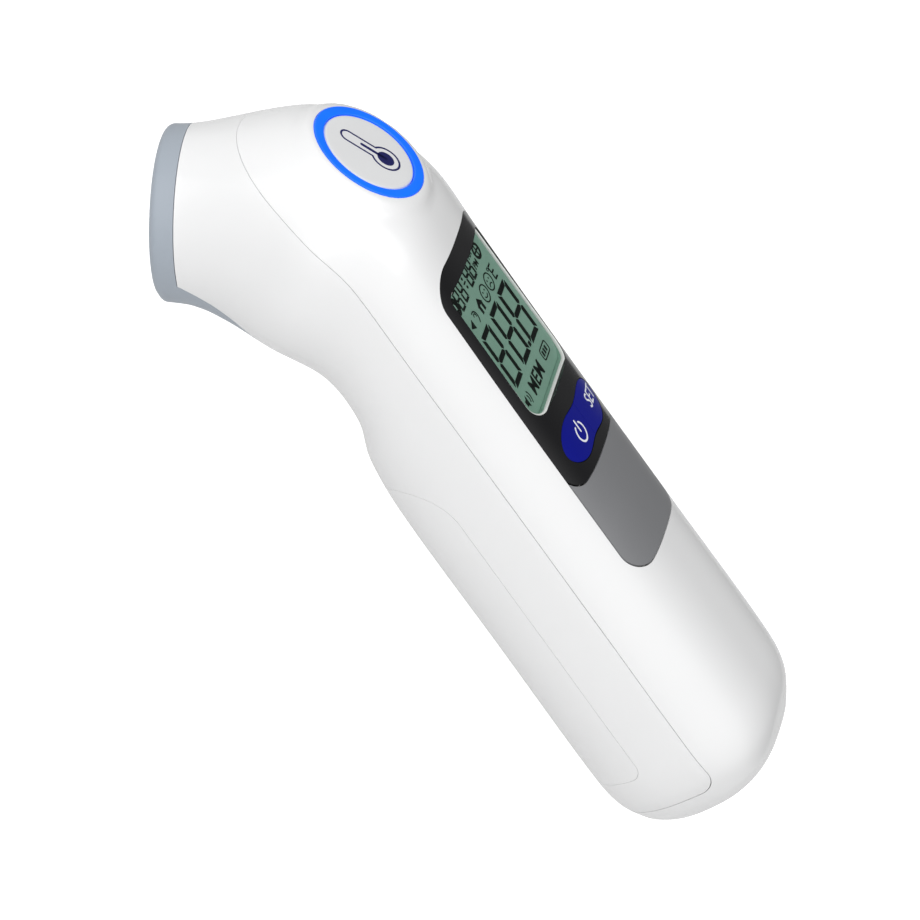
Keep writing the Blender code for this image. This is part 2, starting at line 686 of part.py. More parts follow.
def battery(name, side, nub_first):
    """One cell lying along the handle, with its raised contact at either end."""
    profile = [(0.0, CELL_RADIUS - 0.3), (0.3, CELL_RADIUS), (CELL_BODY - 0.4, CELL_RADIUS),
               (CELL_BODY, CELL_RADIUS - 0.4), (CELL_BODY, 1.9), (CELL_BODY + CELL_NUB, 1.9)]
    if nub_first:
        start = Vector((BAY_START + 1.0 + CELL_BODY + CELL_NUB, side * CELL_Y, CELL_Z))
        axis = Vector((-1, 0, 0))
    else:
        start = Vector((BAY_START + 3.5, side * CELL_Y, CELL_Z))
        axis = Vector((1, 0, 0))
    return rod(name, start, axis, profile, 28, material("cell_jacket", (0.03, 0.05, 0.09), 0.35))


def spring(name, x_start, x_end, side, steel):
    """A conical battery spring: a coil that narrows towards the cell."""
    turns = 3
    per_turn = 12
    wire = 0.3
    curve = bpy.data.curves.new(name, "CURVE")
    curve.dimensions = "3D"
    curve.bevel_depth = wire * MM
    curve.bevel_resolution = 1
    curve.use_fill_caps = True
    line = curve.splines.new("POLY")
    total = turns * per_turn
    line.points.add(total)
    for step in range(total + 1):
        share = step / total
        turn = math.tau * turns * share
        radius = 3.6 - 1.4 * share
        x = x_start + (x_end - x_start) * share
        y = side * CELL_Y + radius * math.cos(turn)
        z = CELL_Z + radius * math.sin(turn)
        line.points[step].co = (x * MM, y * MM, z * MM, 1.0)
    curve.materials.append(steel)
    made = bpy.data.objects.new(name, curve)
    bpy.context.scene.collection.objects.link(made)
    return made


def battery_tray():
    """Channel over the cells, with end walls and two screw ears."""
    half = 12.8
    wall = 1.2
    top = -16.2
    tray = box("battery_tray", (BAY_START - wall, -half, -24.4), (BAY_END + wall, half, top),
               material("tray_grey", (0.6, 0.61, 0.62), 0.5))
    hollow = box("tray_hollow", (BAY_START, -half + wall, -40.0), (BAY_END, half - wall, top - wall))
    boolean(tray, as_tool(hollow))
    ear = box("tray_ear", (BAY_END, -10.5, top - 1.4), (104.0, 10.5, top))
    boolean(tray, as_tool(ear), "UNION")
    for index, (x, y, *_) in enumerate(SCREW_PLACES[2:]):
        boolean(tray, post(f"ear_hole_{index}", x, y, -22.0, -10.0, SCREW_SHANK + GAP))
    return tray


def power_parts():
    battery_tray()
    battery("battery_left", -1, False)
    battery("battery_right", 1, True)
    steel = material("contact_steel", (0.65, 0.65, 0.66), 0.3, 1.0)
    thin = 0.4
    head = BAY_START + GAP
    tail = BAY_END - GAP
    spring("negative_spring", head + 0.4, BAY_START + 2.9, -1, steel)
    spring("bridge_spring", tail - thin - 0.6, BAY_END - 2.7, 1, steel)
    box("positive_plate", (head, CELL_Y - 3.5, CELL_Z - 3.5), (head + thin, CELL_Y + 3.5, CELL_Z + 4.5), steel)
    box("bridge_plate", (tail - thin, -CELL_Y - 3.5, CELL_Z - 3.5), (tail, CELL_Y + 3.5, CELL_Z + 3.5), steel)


def wire(name, side, finish):
    """A short lead from a battery contact up to the board."""
    curve = bpy.data.curves.new(name, "CURVE")
    curve.dimensions = "3D"
    curve.bevel_depth = 0.55 * MM
    curve.bevel_resolution = 2
    curve.use_fill_caps = True
    line = curve.splines.new("POLY")
    path = bent_path((46.6, -18.6), (38.5, -14.0), (44.5, BOARD_BOTTOM - 0.6), 12)
    line.points.add(len(path) - 1)
    for point, (x, z) in zip(line.points, path):
        point.co = (x * MM, side * 8.0 * MM, z * MM, 1.0)
    curve.materials.append(finish)
    made = bpy.data.objects.new(name, curve)
    bpy.context.scene.collection.objects.link(made)
    return made


def screws():
    """Self-tapping screws: two hold the main board, two hold the battery tray."""
    steel = material("screw_steel", (0.5, 0.5, 0.52), 0.3, 1.0)
    seats = (BOARD_BOTTOM - GAP, BOARD_BOTTOM - GAP, -17.6 - GAP, -17.6 - GAP)
    names = ("board_screw_1", "board_screw_2", "tray_screw_1", "tray_screw_2")
    for name, seat, (x, y, low, high) in zip(names, seats, SCREW_PLACES):
        length = min(low + 6.0, high - 1.0) - seat
        profile = ((-1.2, SCREW_HEAD - 0.4), (-0.9, SCREW_HEAD), (0.0, SCREW_HEAD),
                   (0.0, SCREW_SHANK), (length - 0.6, SCREW_SHANK), (length, 0.3))
        rod(name, Vector((x, y, seat)), Vector((0, 0, 1)), profile, 16, steel)


# ---------------------------------------------------------------- assembly

def lowest_and_middle(turn):
    """Bottom and middle of the finished pieces once they are turned."""
    bpy.context.view_layer.update()
    graph = bpy.context.evaluated_depsgraph_get()
    corners = []
    for made in bpy.context.scene.objects:
        if made.type == "EMPTY" or made.hide_render:
            continue
        solid = made.evaluated_get(graph)
        mesh = solid.to_mesh()
        corners += [turn @ (solid.matrix_world @ vertex.co) for vertex in mesh.vertices]
        solid.to_mesh_clear()
    low = [min(corner[axis] for corner in corners) for axis in range(3)]
    high = [max(corner[axis] for corner in corners) for axis in range(3)]
    return Vector(((low[0] + high[0]) / 2, (low[1] + high[1]) / 2, low[2]))


def lay_on_table():
    """Turn the handle frame so that the cap's rim and the handle's back touch one plane."""
    rim = NOSE - HEAD_UP * NOSE_RADIUS
    heel = Vector((HANDLE_END - END_ROUNDING, 0, -HANDLE_DEPTH))
    tilt = math.atan2(heel.z - rim.z, heel.x - rim.x)
    turn = Matrix.Rotation(tilt, 4, "Y")
    frame = bpy.data.objects.new("thermometer_frame", None)
    bpy.context.scene.collection.objects.link(frame)
    pieces = [made for made in bpy.context.scene.objects if made.type != "EMPTY"]
    frame.matrix_world = Matrix.Translation(-lowest_and_middle(turn)) @ turn
    for made in pieces:
        made.parent = frame


def build():
    for old in list(bpy.data.objects):
        bpy.data.objects.remove(old)
    top_shell()
    bottom_shell()
    battery_cover()
    forehead_cap()
    display_panel()
    display_bezel()
    display_lens()
    inlay()
    key("power_key", -1)
    key("set_key", 1)
    display_stack()
    boards()
    measure_button()
    probe()
    ribbons()
    power_parts()
    wire("battery_lead_black", -1, material("lead_black", (0.02, 0.02, 0.02), 0.5))
    wire("battery_lead_red", 1, material("lead_red", (0.5, 0.02, 0.02), 0.5))
    screws()
    lay_on_table()


build()
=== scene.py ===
"""Looks of the infrared thermometer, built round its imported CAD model.

Shapes are laid out in the handle's own frame, in millimetres: x along the handle from the bend to its
closed end, y across it and z out of the display face. place_piece() then turns them into the row frame.
"""

import json
import math

import bmesh
import bpy
from mathutils import Matrix, Vector
from mathutils.bvhtree import BVHTree
from mathutils.interpolate import poly_3d_calc


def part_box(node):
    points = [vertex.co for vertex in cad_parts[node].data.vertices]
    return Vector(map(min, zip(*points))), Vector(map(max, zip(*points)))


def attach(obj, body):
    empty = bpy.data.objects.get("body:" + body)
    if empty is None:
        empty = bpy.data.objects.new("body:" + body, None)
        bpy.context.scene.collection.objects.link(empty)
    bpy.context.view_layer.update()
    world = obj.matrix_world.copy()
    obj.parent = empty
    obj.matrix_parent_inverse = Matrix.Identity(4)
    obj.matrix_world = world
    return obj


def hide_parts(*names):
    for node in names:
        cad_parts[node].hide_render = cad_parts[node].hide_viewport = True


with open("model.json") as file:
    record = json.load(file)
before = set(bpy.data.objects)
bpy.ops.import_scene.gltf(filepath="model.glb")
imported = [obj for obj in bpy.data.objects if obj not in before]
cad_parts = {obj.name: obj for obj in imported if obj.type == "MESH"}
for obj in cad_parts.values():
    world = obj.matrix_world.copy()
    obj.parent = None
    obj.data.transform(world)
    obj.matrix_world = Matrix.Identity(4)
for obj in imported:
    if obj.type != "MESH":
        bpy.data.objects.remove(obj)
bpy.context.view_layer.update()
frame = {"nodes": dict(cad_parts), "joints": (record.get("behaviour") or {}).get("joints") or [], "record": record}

MM = 0.001
Y_AXIS = Vector((0, 1, 0))
Z_AXIS = Vector((0, 0, 1))

# Casing, as in the CAD model. SKIN keeps the finer surface inside the CAD model's box.
SKIN = 0.12
INNER_RINGS = 120               # surfaces that lie inside need fewer rings and points
INNER_POINTS = 96
EDGE = 0.1                      # rounding of cut edges
WALL = 2.0
HANDLE_HALF_WIDTH = 18.6
HANDLE_DEPTH = 32.1
HANDLE_END = 112.5
END_ROUNDING = 15.6
END_POWER = 2.4
END_LEVEL = 18.5
TIP_POWER = 2.2
TOP_POWER = 2.8
BACK_POWER = 2.5
WIDEST = 0.47
SEAM_LEVEL = -10.2
SEAM_END = 105.3
SEAM_CORNER = 3.5
SEAM_HEAD_SLOPE = 0.374
SEAM_LEAN = 1.8                 # how far the seam leans inwards on its way down the closed end
SEAM_FOOT = -40.0
HALF_GAP = 0.15                 # half of the CAD model's gap between shells
LINE = 0.12                     # width of a parting line
COVER_LINE = 0.05               # the battery cover fits more tightly

HEAD_ANGLE = math.radians(58.5)
NOSE = Vector((-15.6, 0.0, -37.9))
NOSE_RADIUS = 13.9
NOSE_ROUNDING = 1.3
HEAD_OUT = Vector((-math.cos(HEAD_ANGLE), 0.0, -math.sin(HEAD_ANGLE)))
HEAD_UP = Vector((-math.sin(HEAD_ANGLE), 0.0, math.cos(HEAD_ANGLE)))
CAP_DEPTH = 4.0
TAIL_LAYER = 1.2
TAIL_OUTLINE = ((3.0, 12.2), (5.0, 11.8), (8.0, 11.5), (16.0, 11.4), (19.0, 11.1), (21.5, 10.2), (23.2, 7.6),
                (24.2, 4.4), (24.6, 1.2))

BUTTON_TILT = math.radians(25.3)
BUTTON_CENTRE = Vector((-9.3, 0.0, -3.2))
BUTTON_NORMAL = Vector((-math.sin(BUTTON_TILT), 0.0, math.cos(BUTTON_TILT)))
BUTTON_DOWN = Vector((math.cos(BUTTON_TILT), 0.0, math.sin(BUTTON_TILT)))
BUTTON_RADIUS = 8.0
RING_OUTER = 9.75
BUTTON_TOP = 0.02
PAD_INNER = 10.05
PAD_OUTER = 12.6
PAD_REACH = 9.0                 # the pad shapes nothing further than this below the button's plane

SLOT_START = 10.0
SLOT_END = 69.5
SLOT_HALF_WIDTH = 13.3
SLOT_CORNER = 5.5
PANEL_END = 52.0
PANEL_EDGE = 0.12
WINDOW_START = 13.8
WINDOW_END = 39.4
WINDOW_HALF_WIDTH = 11.3
LCD_MARGIN = 0.45               # from the window's edge to the display cell
LCD_TOP = -1.95
LCD_THICKNESS = 1.25
STRIP_FLOOR = -2.6
KEY_X = 46.5
KEY_Y = 5.2
KEY_HALF_LENGTH = 3.6
KEY_HALF_WIDTH = 5.2
KEY_WAIST = 0.45
KEY_EDGE = 0.14

COVER_START = 37.0
COVER_END = 97.4
COVER_TOP = -19.6
COVER_CORNER = 2.0
COVER_HEAD_CORNER = 9.0
COVER_THICKNESS = 1.6

# Ends of cutting blocks, well outside the casing.
FAR_LEFT = -45.0
FAR_RIGHT = 130.0
FAR_UP = 20.0
FAR_DOWN = -60.0
FAR_SIDE = 40.0

# The camera's directions and target, in the handle frame.
VIEW_RIGHT = Vector((0.5523, 0.1786, 0.8143))
VIEW_TOWARD = Vector((-0.3453, -0.8399, 0.4188))
VIEW_TARGET = Vector((35.4, -20.4, -11.7))
VIEW_SHIFT_RIGHT = -0.6
VIEW_SHIFT_UP = 0.5
VIEW_DISTANCE = 3.2
LENS_PER_METRE = 253.5

DARK_SIDE = (0.4, 0.84, 0.38)   # the room is darker on this side, so that the display face stays dark
ROOM_LIGHT = 0.92
ROOM_DARK = 0.14
FLOOR_HALF_SIZE = 4.0
FLOOR_LEVEL = -0.075
FLOOR_GLOW = 0.5                # the floor's own light, which falls on nothing else


# ---- frame and mesh helpers

def handle_matrix():
    """Handle frame in millimetres to row frame in metres, from the keys' joint and the display cell."""
    press = next(joint for joint in frame["joints"] if joint["name"] == "power_press")
    up = -Vector(press["axis"]).normalized()
    along = Y_AXIS.cross(up)
    turn = Matrix((along, Y_AXIS, up)).transposed()
    low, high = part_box("lcd_glass")
    cell = Vector(((WINDOW_START + WINDOW_END) / 2, 0.0, LCD_TOP - LCD_THICKNESS / 2))
    middle = (Vector(low) + Vector(high)) / 2
    return Matrix.Translation(middle - turn @ cell * MM) @ turn.to_4x4() @ Matrix.Scale(MM, 4)


HANDLE = handle_matrix()


def new_object(name, bm):
    """A named object from a bmesh in the handle frame."""
    bmesh.ops.recalc_face_normals(bm, faces=bm.faces)
    mesh = bpy.data.meshes.new(name)
    bm.to_mesh(mesh)
    bm.free()
    made = bpy.data.objects.new(name, mesh)
    bpy.context.scene.collection.objects.link(made)
    return made


def solid(name, rings, closed=False):
    """Join loops of points into a solid with flat ends, or into a closed ring."""
    bm = bmesh.new()
    loops = [[bm.verts.new(point) for point in ring] for ring in rings]
    count = len(loops[0])
    pairs = list(zip(loops, loops[1:]))
    if closed:
        pairs.append((loops[-1], loops[0]))
    for near, far in pairs:
        for index in range(count):
            after = (index + 1) % count
            bm.faces.new((near[index], near[after], far[after], far[index]))
    if not closed:
        bm.faces.new(loops[0])
        bm.faces.new(reversed(loops[-1]))
    return new_object(name, bm)


def prism(outline, direction, low, high):
    """A flat outline of 3-D points, pushed from low to high along a direction."""
    return solid("tool", [[Vector(point) + direction * level for point in outline] for level in (low, high)])


def plan_prism(outline, low=-9.0, high=6.0):
    return prism([(x, y, 0.0) for x, y in outline], Z_AXIS, low, high)


def side_prism(outline):
    return prism([(x, 0.0, z) for x, z in outline], Y_AXIS, -FAR_SIDE, FAR_SIDE)


def spun(name, centre, axis, profile, sides=128, closed=False):
    """A profile of (along the axis, radius) points turned about an axis."""
    other = axis.cross(Y_AXIS)
    turns = [math.tau * index / sides for index in range(sides)]
    rings = [[centre + axis * along + (Y_AXIS * math.cos(turn) + other * math.sin(turn)) * radius
              for turn in turns] for along, radius in profile]
    return solid(name, rings, closed)


def combine(piece, tool, operation="DIFFERENCE"):
    """Apply a Boolean at once and delete its tool."""
    step = piece.modifiers.new("combine", "BOOLEAN")
    step.operation = operation
    step.object = tool
    step.solver = "MANIFOLD"
    bpy.context.view_layer.update()
    graph = bpy.context.evaluated_depsgraph_get()
    result = bpy.data.meshes.new_from_object(piece.evaluated_get(graph))
    piece.modifiers.clear()
    piece.data = result
    bpy.data.objects.remove(tool)
    return piece


def bend(centre, radius, start, end, steps):
    """Points on an arc round a centre, from one angle in degrees to another."""
    turns = [math.radians(start + (end - start) * step / steps) for step in range(steps + 1)]
    return [(centre[0] + radius * math.cos(turn), centre[1] + radius * math.sin(turn)) for turn in turns]


def rolled(radius, start, end, steps=5):
    """Offsets (along, outwards) round an arc from one angle in degrees to another."""
    return [(along, outwards) for outwards, along in bend((0.0, 0.0), radius, start, end, steps)]


# ---- the casing's outer form

def end_stations():
    """Sections of the rounded closed end, from its tip inwards."""
    stations = []
    for share in (0.04, 0.1, 0.2, 0.3, 0.4, 0.5, 0.6, 0.8, 1.0):
        turn = share * math.pi / 2
        along = max(math.cos(turn), 0.0) ** (2 / END_POWER)
        spread = math.sin(turn) ** (2 / END_POWER)
        x = HANDLE_END - END_ROUNDING * (1 - along)
        top = -END_LEVEL * (1 - spread)
        back = -END_LEVEL - (HANDLE_DEPTH - END_LEVEL) * spread
        powers = [TIP_POWER + (power - TIP_POWER) * spread for power in (TOP_POWER, BACK_POWER)]
        stations.append((x, top, x, back, HANDLE_HALF_WIDTH * spread, *powers, WIDEST))
    return stations


def nose_station(depth, radius, extra):
    """A round section of the nose at a depth behind the rim."""
    centre = NOSE - HEAD_OUT * depth
    top = centre + HEAD_UP * (radius + extra)
    back = centre - HEAD_UP * (radius + extra)
    return (top.x, top.z, back.x, back.z, radius, 2.0, 2.0, 0.5)


def casing_stations():
    """Sections along the casing: top x z, back x z, half width, two powers, widest level."""
    width = HANDLE_HALF_WIDTH
    depth = HANDLE_DEPTH
    middle = [
        (70.0, 0.0, 70.0, -depth, width, TOP_POWER, BACK_POWER, WIDEST),
        (45.0, 0.0, 43.0, -depth, width, TOP_POWER, BACK_POWER, WIDEST),
        (30.0, 0.0, 33.0, -31.0, width, TOP_POWER, BACK_POWER, WIDEST),
        (14.0, 0.0, 26.0, -28.4, width, TOP_POWER, BACK_POWER, WIDEST),
        (1.0, 0.4, 18.0, -29.2, 18.6, 2.6, 2.3, 0.48),
        (-9.3, -3.2, 9.5, -33.8, 19.4, 2.5, 2.2, 0.5),
        (-18.5, -8.8, 3.6, -38.0, 16.2, 2.3, 2.1, 0.5),
    ]
    return end_stations() + middle + [nose_station(5.0, 13.6, 1.0), nose_station(0.0, NOSE_RADIUS, 0.0)]


def blend(stations, count):
    """Smooth sections between the stations, by cubic Hermite pieces."""
    places = [0.0]
    for before, after in zip(stations, stations[1:]):
        middle_before = Vector((before[0] + before[2], before[1] + before[3])) / 2
        middle_after = Vector((after[0] + after[2], after[1] + after[3])) / 2
        step = (middle_after - middle_before).length + 0.3 * abs(after[4] - before[4]) + 0.05
        places.append(places[-1] + step)
    last = len(stations) - 1
    slopes = []
    for index in range(len(stations)):
        low = max(index - 1, 0)
        high = min(index + 1, last)
        span = places[high] - places[low]
        slopes.append([(b - a) / span for a, b in zip(stations[low], stations[high])])
    sections = []
    for step in range(count + 1):
        place = places[-1] * step / count
        piece = max(index for index in range(last) if places[index] <= place)
        span = places[piece + 1] - places[piece]
        t = (place - places[piece]) / span
        weights = (2 * t**3 - 3 * t**2 + 1, (t**3 - 2 * t**2 + t) * span,
                   3 * t**2 - 2 * t**3, (t**3 - t**2) * span)
        columns = zip(stations[piece], slopes[piece], stations[piece + 1], slopes[piece + 1])
        sections.append([sum(w * value for w, value in zip(weights, column)) for column in columns])
    return sections


def signed_power(value, power):
    return math.copysign(abs(value) ** power, value)


def smooth_step(value):
    value = min(max(value, 0.0), 1.0)
    return value * value * (3 - 2 * value)


def on_pad(point):
    """Bring the top of the head up to the button's plane, with a soft run-out round it."""
    offset = point - BUTTON_CENTRE
    height = offset.dot(BUTTON_NORMAL)
    radius = (offset - BUTTON_NORMAL * height).length
    if height < -PAD_REACH or radius > PAD_OUTER:
        return point
    share = smooth_step((PAD_OUTER - radius) / (PAD_OUTER - PAD_INNER))
    return point - BUTTON_NORMAL * (height + SKIN) * share


def section_ring(section, inset, points):
    """Points round one section, moved inwards by the inset."""
    top_x, top_z, back_x, back_z, half_width, top_power, back_power, widest = section
    top = Vector((top_x, 0, top_z))
    back = Vector((back_x, 0, back_z))
    middle = top.lerp(back, widest)
    up = (top - middle) * (1 - inset / (top - middle).length)
    down = (middle - back) * (1 - inset / (middle - back).length)
    ring = []
    for index in range(points):
        turn = math.tau * (index + 0.5) / points
        rise = math.cos(turn)
        power = top_power if rise > 0 else back_power
        side = signed_power(math.sin(turn), 2 / power) * (half_width - inset)
        lift = signed_power(rise, 2 / power)
        ring.append(middle + (up if rise > 0 else down) * lift + Vector((0, side, 0)))
    return ring


def nose_depth(ring):
    """How far a ring lies behind the nose's rim, and its middle."""
    middle = sum(ring, Vector()) / len(ring)
    return (NOSE - middle).dot(HEAD_OUT), middle


def form(inset, rings=190, points=144):
    """The casing's outer form as a solid, moved inwards by the inset."""
    loops = [section_ring(section, inset, points) for section in blend(casing_stations(), rings)
             if section[4] > inset + 0.9 and section[0] < HANDLE_END - inset]
    rounding = max(NOSE_ROUNDING - inset, 0.1)
    loops = [loop for loop in loops if nose_depth(loop)[0] > rounding + inset + 0.2]
    base = loops[-1]
    depth, middle = nose_depth(base)
    radius = NOSE_RADIUS - inset
    for along, outwards in rolled(rounding, 0.0, 90.0, 6):
        scale = (radius - rounding + outwards) / radius
        forward = HEAD_OUT * (depth - rounding - inset + along)
        loops.append([middle + forward + (point - middle) * scale for point in base])
    if inset < 0.5:
        loops = [[on_pad(point) for point in loop] for loop in loops]
    return solid("form", loops)


def inner_form(inset):
    return form(inset, INNER_RINGS, INNER_POINTS)


class Skin:
    """Remembers the casing's smooth surface, so that cut pieces can be shaded like it."""

    def __init__(self):
        shape = form(SKIN)
        self.points = [vertex.co.copy() for vertex in shape.data.vertices]
        self.normals = [vertex.normal.copy() for vertex in shape.data.vertices]
        self.faces = [tuple(polygon.vertices) for polygon in shape.data.polygons]
        self.tree = BVHTree.FromPolygons(self.points, self.faces)
        bpy.data.objects.remove(shape)

    def normal(self, point):
        """The smooth normal of the surface at the nearest place, or None if it is far away."""
        place, _, index, _ = self.tree.find_nearest(point, 0.6)
        if place is None or len(self.faces[index]) > 4:
            return None
        corners = self.faces[index]
        weights = poly_3d_calc([self.points[corner] for corner in corners], place)
        total = sum((self.normals[corner] * weight for corner, weight in zip(corners, weights)), Vector())
        return total.normalized()


skin = Skin()


def shade(piece, like_skin=True, sharp=35.0):
    """Smooth shading with sharp cut edges, and the casing's own normals on its surface."""
    mesh = piece.data
    mesh.shade_smooth()
    mesh.set_sharp_from_angle(angle=math.radians(sharp))
    if not like_skin:
        return
    wanted = [corner.vector.copy() for corner in mesh.corner_normals]
    known = {}
    for polygon in mesh.polygons:
        facing = polygon.normal
        for loop_index in polygon.loop_indices:
            vertex = mesh.loops[loop_index].vertex_index
            if vertex not in known:
                known[vertex] = skin.normal(mesh.vertices[vertex].co)
            if known[vertex] is not None and known[vertex].dot(facing) > 0.9:
                wanted[loop_index] = known[vertex]
    mesh.normals_split_custom_set(wanted)


def soften(piece, width=EDGE, segments=2, angle=42.0):
    """Round the cut edges of a piece."""
    bm = bmesh.new()
    bm.from_mesh(piece.data)
    bmesh.ops.remove_doubles(bm, verts=bm.verts, dist=0.03)
    bmesh.ops.dissolve_degenerate(bm, edges=bm.edges, dist=0.01)
    limit = math.radians(angle)
    edges = [edge for edge in bm.edges if len(edge.link_faces) == 2 and edge.calc_face_angle(0.0) > limit]
    bmesh.ops.bevel(bm, geom=edges, offset=width, offset_type="OFFSET", segments=segments, profile=0.5,
                    affect="EDGES", clamp_overlap=True)
    bm.to_mesh(piece.data)
    bm.free()


def place_piece(piece, name, body, slot, *replaced):
    """Turn a finished piece into the row frame, give it the finish of its slot, attach it to its body and hide the
    CAD nodes it replaces.
    """
    piece.name = name
    piece.data.name = name
    piece.data.transform(HANDLE)
    piece.data.materials.clear()
    piece.data.materials.append(FINISHES[slot])
    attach(piece, body)
    if replaced:
        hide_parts(*replaced)


def place_cut(piece, name, body, slot, *replaced, edge=EDGE, segments=2):
    """Round the cut edges of a piece of the casing's form, shade it like the casing and place it."""
    soften(piece, edge, segments)
    shade(piece)
    place_piece(piece, name, body, slot, *replaced)


def layer(thickness, outer_inset=SKIN):
    """A skin of the casing's form."""
    piece = form(outer_inset)
    return combine(piece, inner_form(outer_inset + thickness))


# ---- outlines shared by several pieces

def rounded_rectangle(x_low, x_high, half_width, low_corner, high_corner, steps=12):
    corners = (
        (x_high - high_corner, half_width - high_corner, high_corner, 0.0),
        (x_low + low_corner, half_width - low_corner, low_corner, 90.0),
        (x_low + low_corner, low_corner - half_width, low_corner, 180.0),
        (x_high - high_corner, high_corner - half_width, high_corner, 270.0),
    )
    outline = []
    for x, y, radius, start in corners:
        outline += bend((x, y), radius, start, start + 90.0, steps)
    return outline


def seam_line(drop):
    """The seam between the two shells, seen from the side, lowered by a drop."""
    points = [(FAR_LEFT, SEAM_LEVEL + SEAM_HEAD_SLOPE * FAR_LEFT - drop)]
    for step in range(13):
        x = -4.0 + 8.0 * step / 12
        fall = (x - 4.0) ** 2 / 16.0
        points.append((x, SEAM_LEVEL - SEAM_HEAD_SLOPE * fall - drop))
    points += bend((SEAM_END - SEAM_CORNER, SEAM_LEVEL - SEAM_CORNER), SEAM_CORNER - drop, 90.0, 0.0, 12)
    points.append((SEAM_END - SEAM_LEAN - drop, SEAM_FOOT))
    return points


def slot_outline(shrink, end=SLOT_END, end_corner=5.0):
    return rounded_rectangle(SLOT_START + shrink, end - shrink, SLOT_HALF_WIDTH - shrink,
                             SLOT_CORNER, end_corner)


def panel_outline(shrink):
    return slot_outline(shrink, PANEL_END, 3.5)


def window_outline(shrink):
    return rounded_rectangle(WINDOW_START + shrink, WINDOW_END - shrink, WINDOW_HALF_WIDTH - shrink,
                             max(1.5 - shrink, 0.5), max(3.4 - shrink, 1.0))


def key_outline(side, grow, flat):
    """One half of the key pair: a round end, a shallow waist and a flat side next to its neighbour."""
    outline = []
    for step in range(25):
        turn = math.pi * step / 24
        outline.append((KEY_X + (KEY_HALF_LENGTH + grow) * math.cos(turn),
                        side * (KEY_Y + (KEY_HALF_WIDTH + grow) * math.sin(turn))))
    for edge, levels in ((-1, (0.8, 0.6, 0.4, 0.2, 0.0)), (1, (0.0, 0.2, 0.4, 0.6, 0.8))):
        for level in levels:
            waist = KEY_WAIST * math.cos(level * math.pi / 2) ** 2
            outline.append((KEY_X + edge * (KEY_HALF_LENGTH - waist + grow),
                            side * (flat + (KEY_Y - flat) * level)))
    return outline


def cover_outline(grow):
    """The battery cover seen from the side."""
    low_x = COVER_START - grow
    high_x = COVER_END + grow
    top = COVER_TOP + grow
    near = COVER_CORNER + grow
    head = COVER_HEAD_CORNER + grow
    outline = [(high_x, FAR_DOWN)]
    outline += bend((high_x - near, top - near), near, 0.0, 90.0, 8)
    outline += bend((low_x + head, top - head), head, 90.0, 180.0, 16)
    outline.append((low_x, FAR_DOWN))
    return outline


def in_front_of(depth):
    """A block that takes everything in front of a plane across the head."""
    corners = [NOSE - HEAD_OUT * depth + (HEAD_UP * a + Y_AXIS * b) * FAR_SIDE
               for a, b in ((1, 1), (1, -1), (-1, -1), (-1, 1))]
    return prism(corners, HEAD_OUT, 0.0, FAR_SIDE)


def tail_prism(grow):
    """The cap's tapering tail under the head, as a block that points out of the head's underside."""
    side = [(depth, width + grow) for depth, width in TAIL_OUTLINE]
    side[-1] = (side[-1][0] + grow, side[-1][1])
    outline = side + [(depth, -width) for depth, width in reversed(side)]
    flat = [NOSE - HEAD_OUT * depth + Vector((0, y, 0)) for depth, y in outline]
    return prism(flat, -HEAD_UP, 3.0, FAR_SIDE)


def face_level(y):
    """Height of the display face across the handle."""
    rise = HANDLE_DEPTH * WIDEST - SKIN
    share = min(abs(y) / (HANDLE_HALF_WIDTH - SKIN), 1.0)
    return rise * (1 - share ** TOP_POWER) ** (1 / TOP_POWER) - HANDLE_DEPTH * WIDEST


# ---- materials

def new_node(tree, kind, values=None, **settings):
    """A shader node, with its settings and with its input values by name."""
    made = tree.nodes.new(kind)
    for key, value in settings.items():
        setattr(made, key, value)
    for key, value in (values or {}).items():
        made.inputs[key].default_value = value
    return made


class Finish:
    """Builds one procedural material, node by node."""

    def __init__(self, name):
        self.made = bpy.data.materials.new(name)
        self.made.use_nodes = True
        self.tree = self.made.node_tree
        self.shader = self.tree.nodes["Principled BSDF"]
        self.coords = self.node("ShaderNodeTexCoord").outputs["Object"]

    def node(self, kind, values=None, **settings):
        return new_node(self.tree, kind, values, **settings)

    def link(self, output, target):
        self.tree.links.new(output, target)

    def set(self, **values):
        for key, value in values.items():
            self.shader.inputs[key.replace("_", " ")].default_value = value

    def noise(self, scale, detail=3.0, stretch=(1.0, 1.0, 1.0)):
        """Noise in object space, with features about 1/scale metres across."""
        spread = self.node("ShaderNodeMapping", {"Scale": stretch})
        self.link(self.coords, spread.inputs["Vector"])
        made = self.node("ShaderNodeTexNoise", {"Scale": scale, "Detail": detail})
        self.link(spread.outputs["Vector"], made.inputs["Vector"])
        return made.outputs["Fac"]

    def colour(self, source, low, high, start=0.3, end=0.7):
        """A colour that goes from low to high as the source goes from start to end."""
        made = self.node("ShaderNodeValToRGB")
        for stop, place, shown in zip(made.color_ramp.elements, (start, end), (low, high)):
            stop.position = place
            stop.color = (*shown, 1.0)
        self.link(source, made.inputs["Fac"])
        self.link(made.outputs["Color"], self.shader.inputs["Base Color"])

    def rough(self, source, low, high):
        """Roughness from low to high as the source goes from 0.3 to 0.7."""
        limits = {"From Min": 0.3, "From Max": 0.7, "To Min": low, "To Max": high}
        made = self.node("ShaderNodeMapRange", limits)
        self.link(source, made.inputs["Value"])
        self.link(made.outputs["Result"], self.shader.inputs["Roughness"])

    def bump(self, source, depth_mm, strength=1.0):
        made = self.node("ShaderNodeBump", {"Distance": depth_mm * MM, "Strength": strength})
        self.link(source, made.inputs["Height"])
        self.link(made.outputs["Normal"], self.shader.inputs["Normal"])


def shade_of(colour, share):
    return tuple(min(value * share, 1.0) for value in colour)


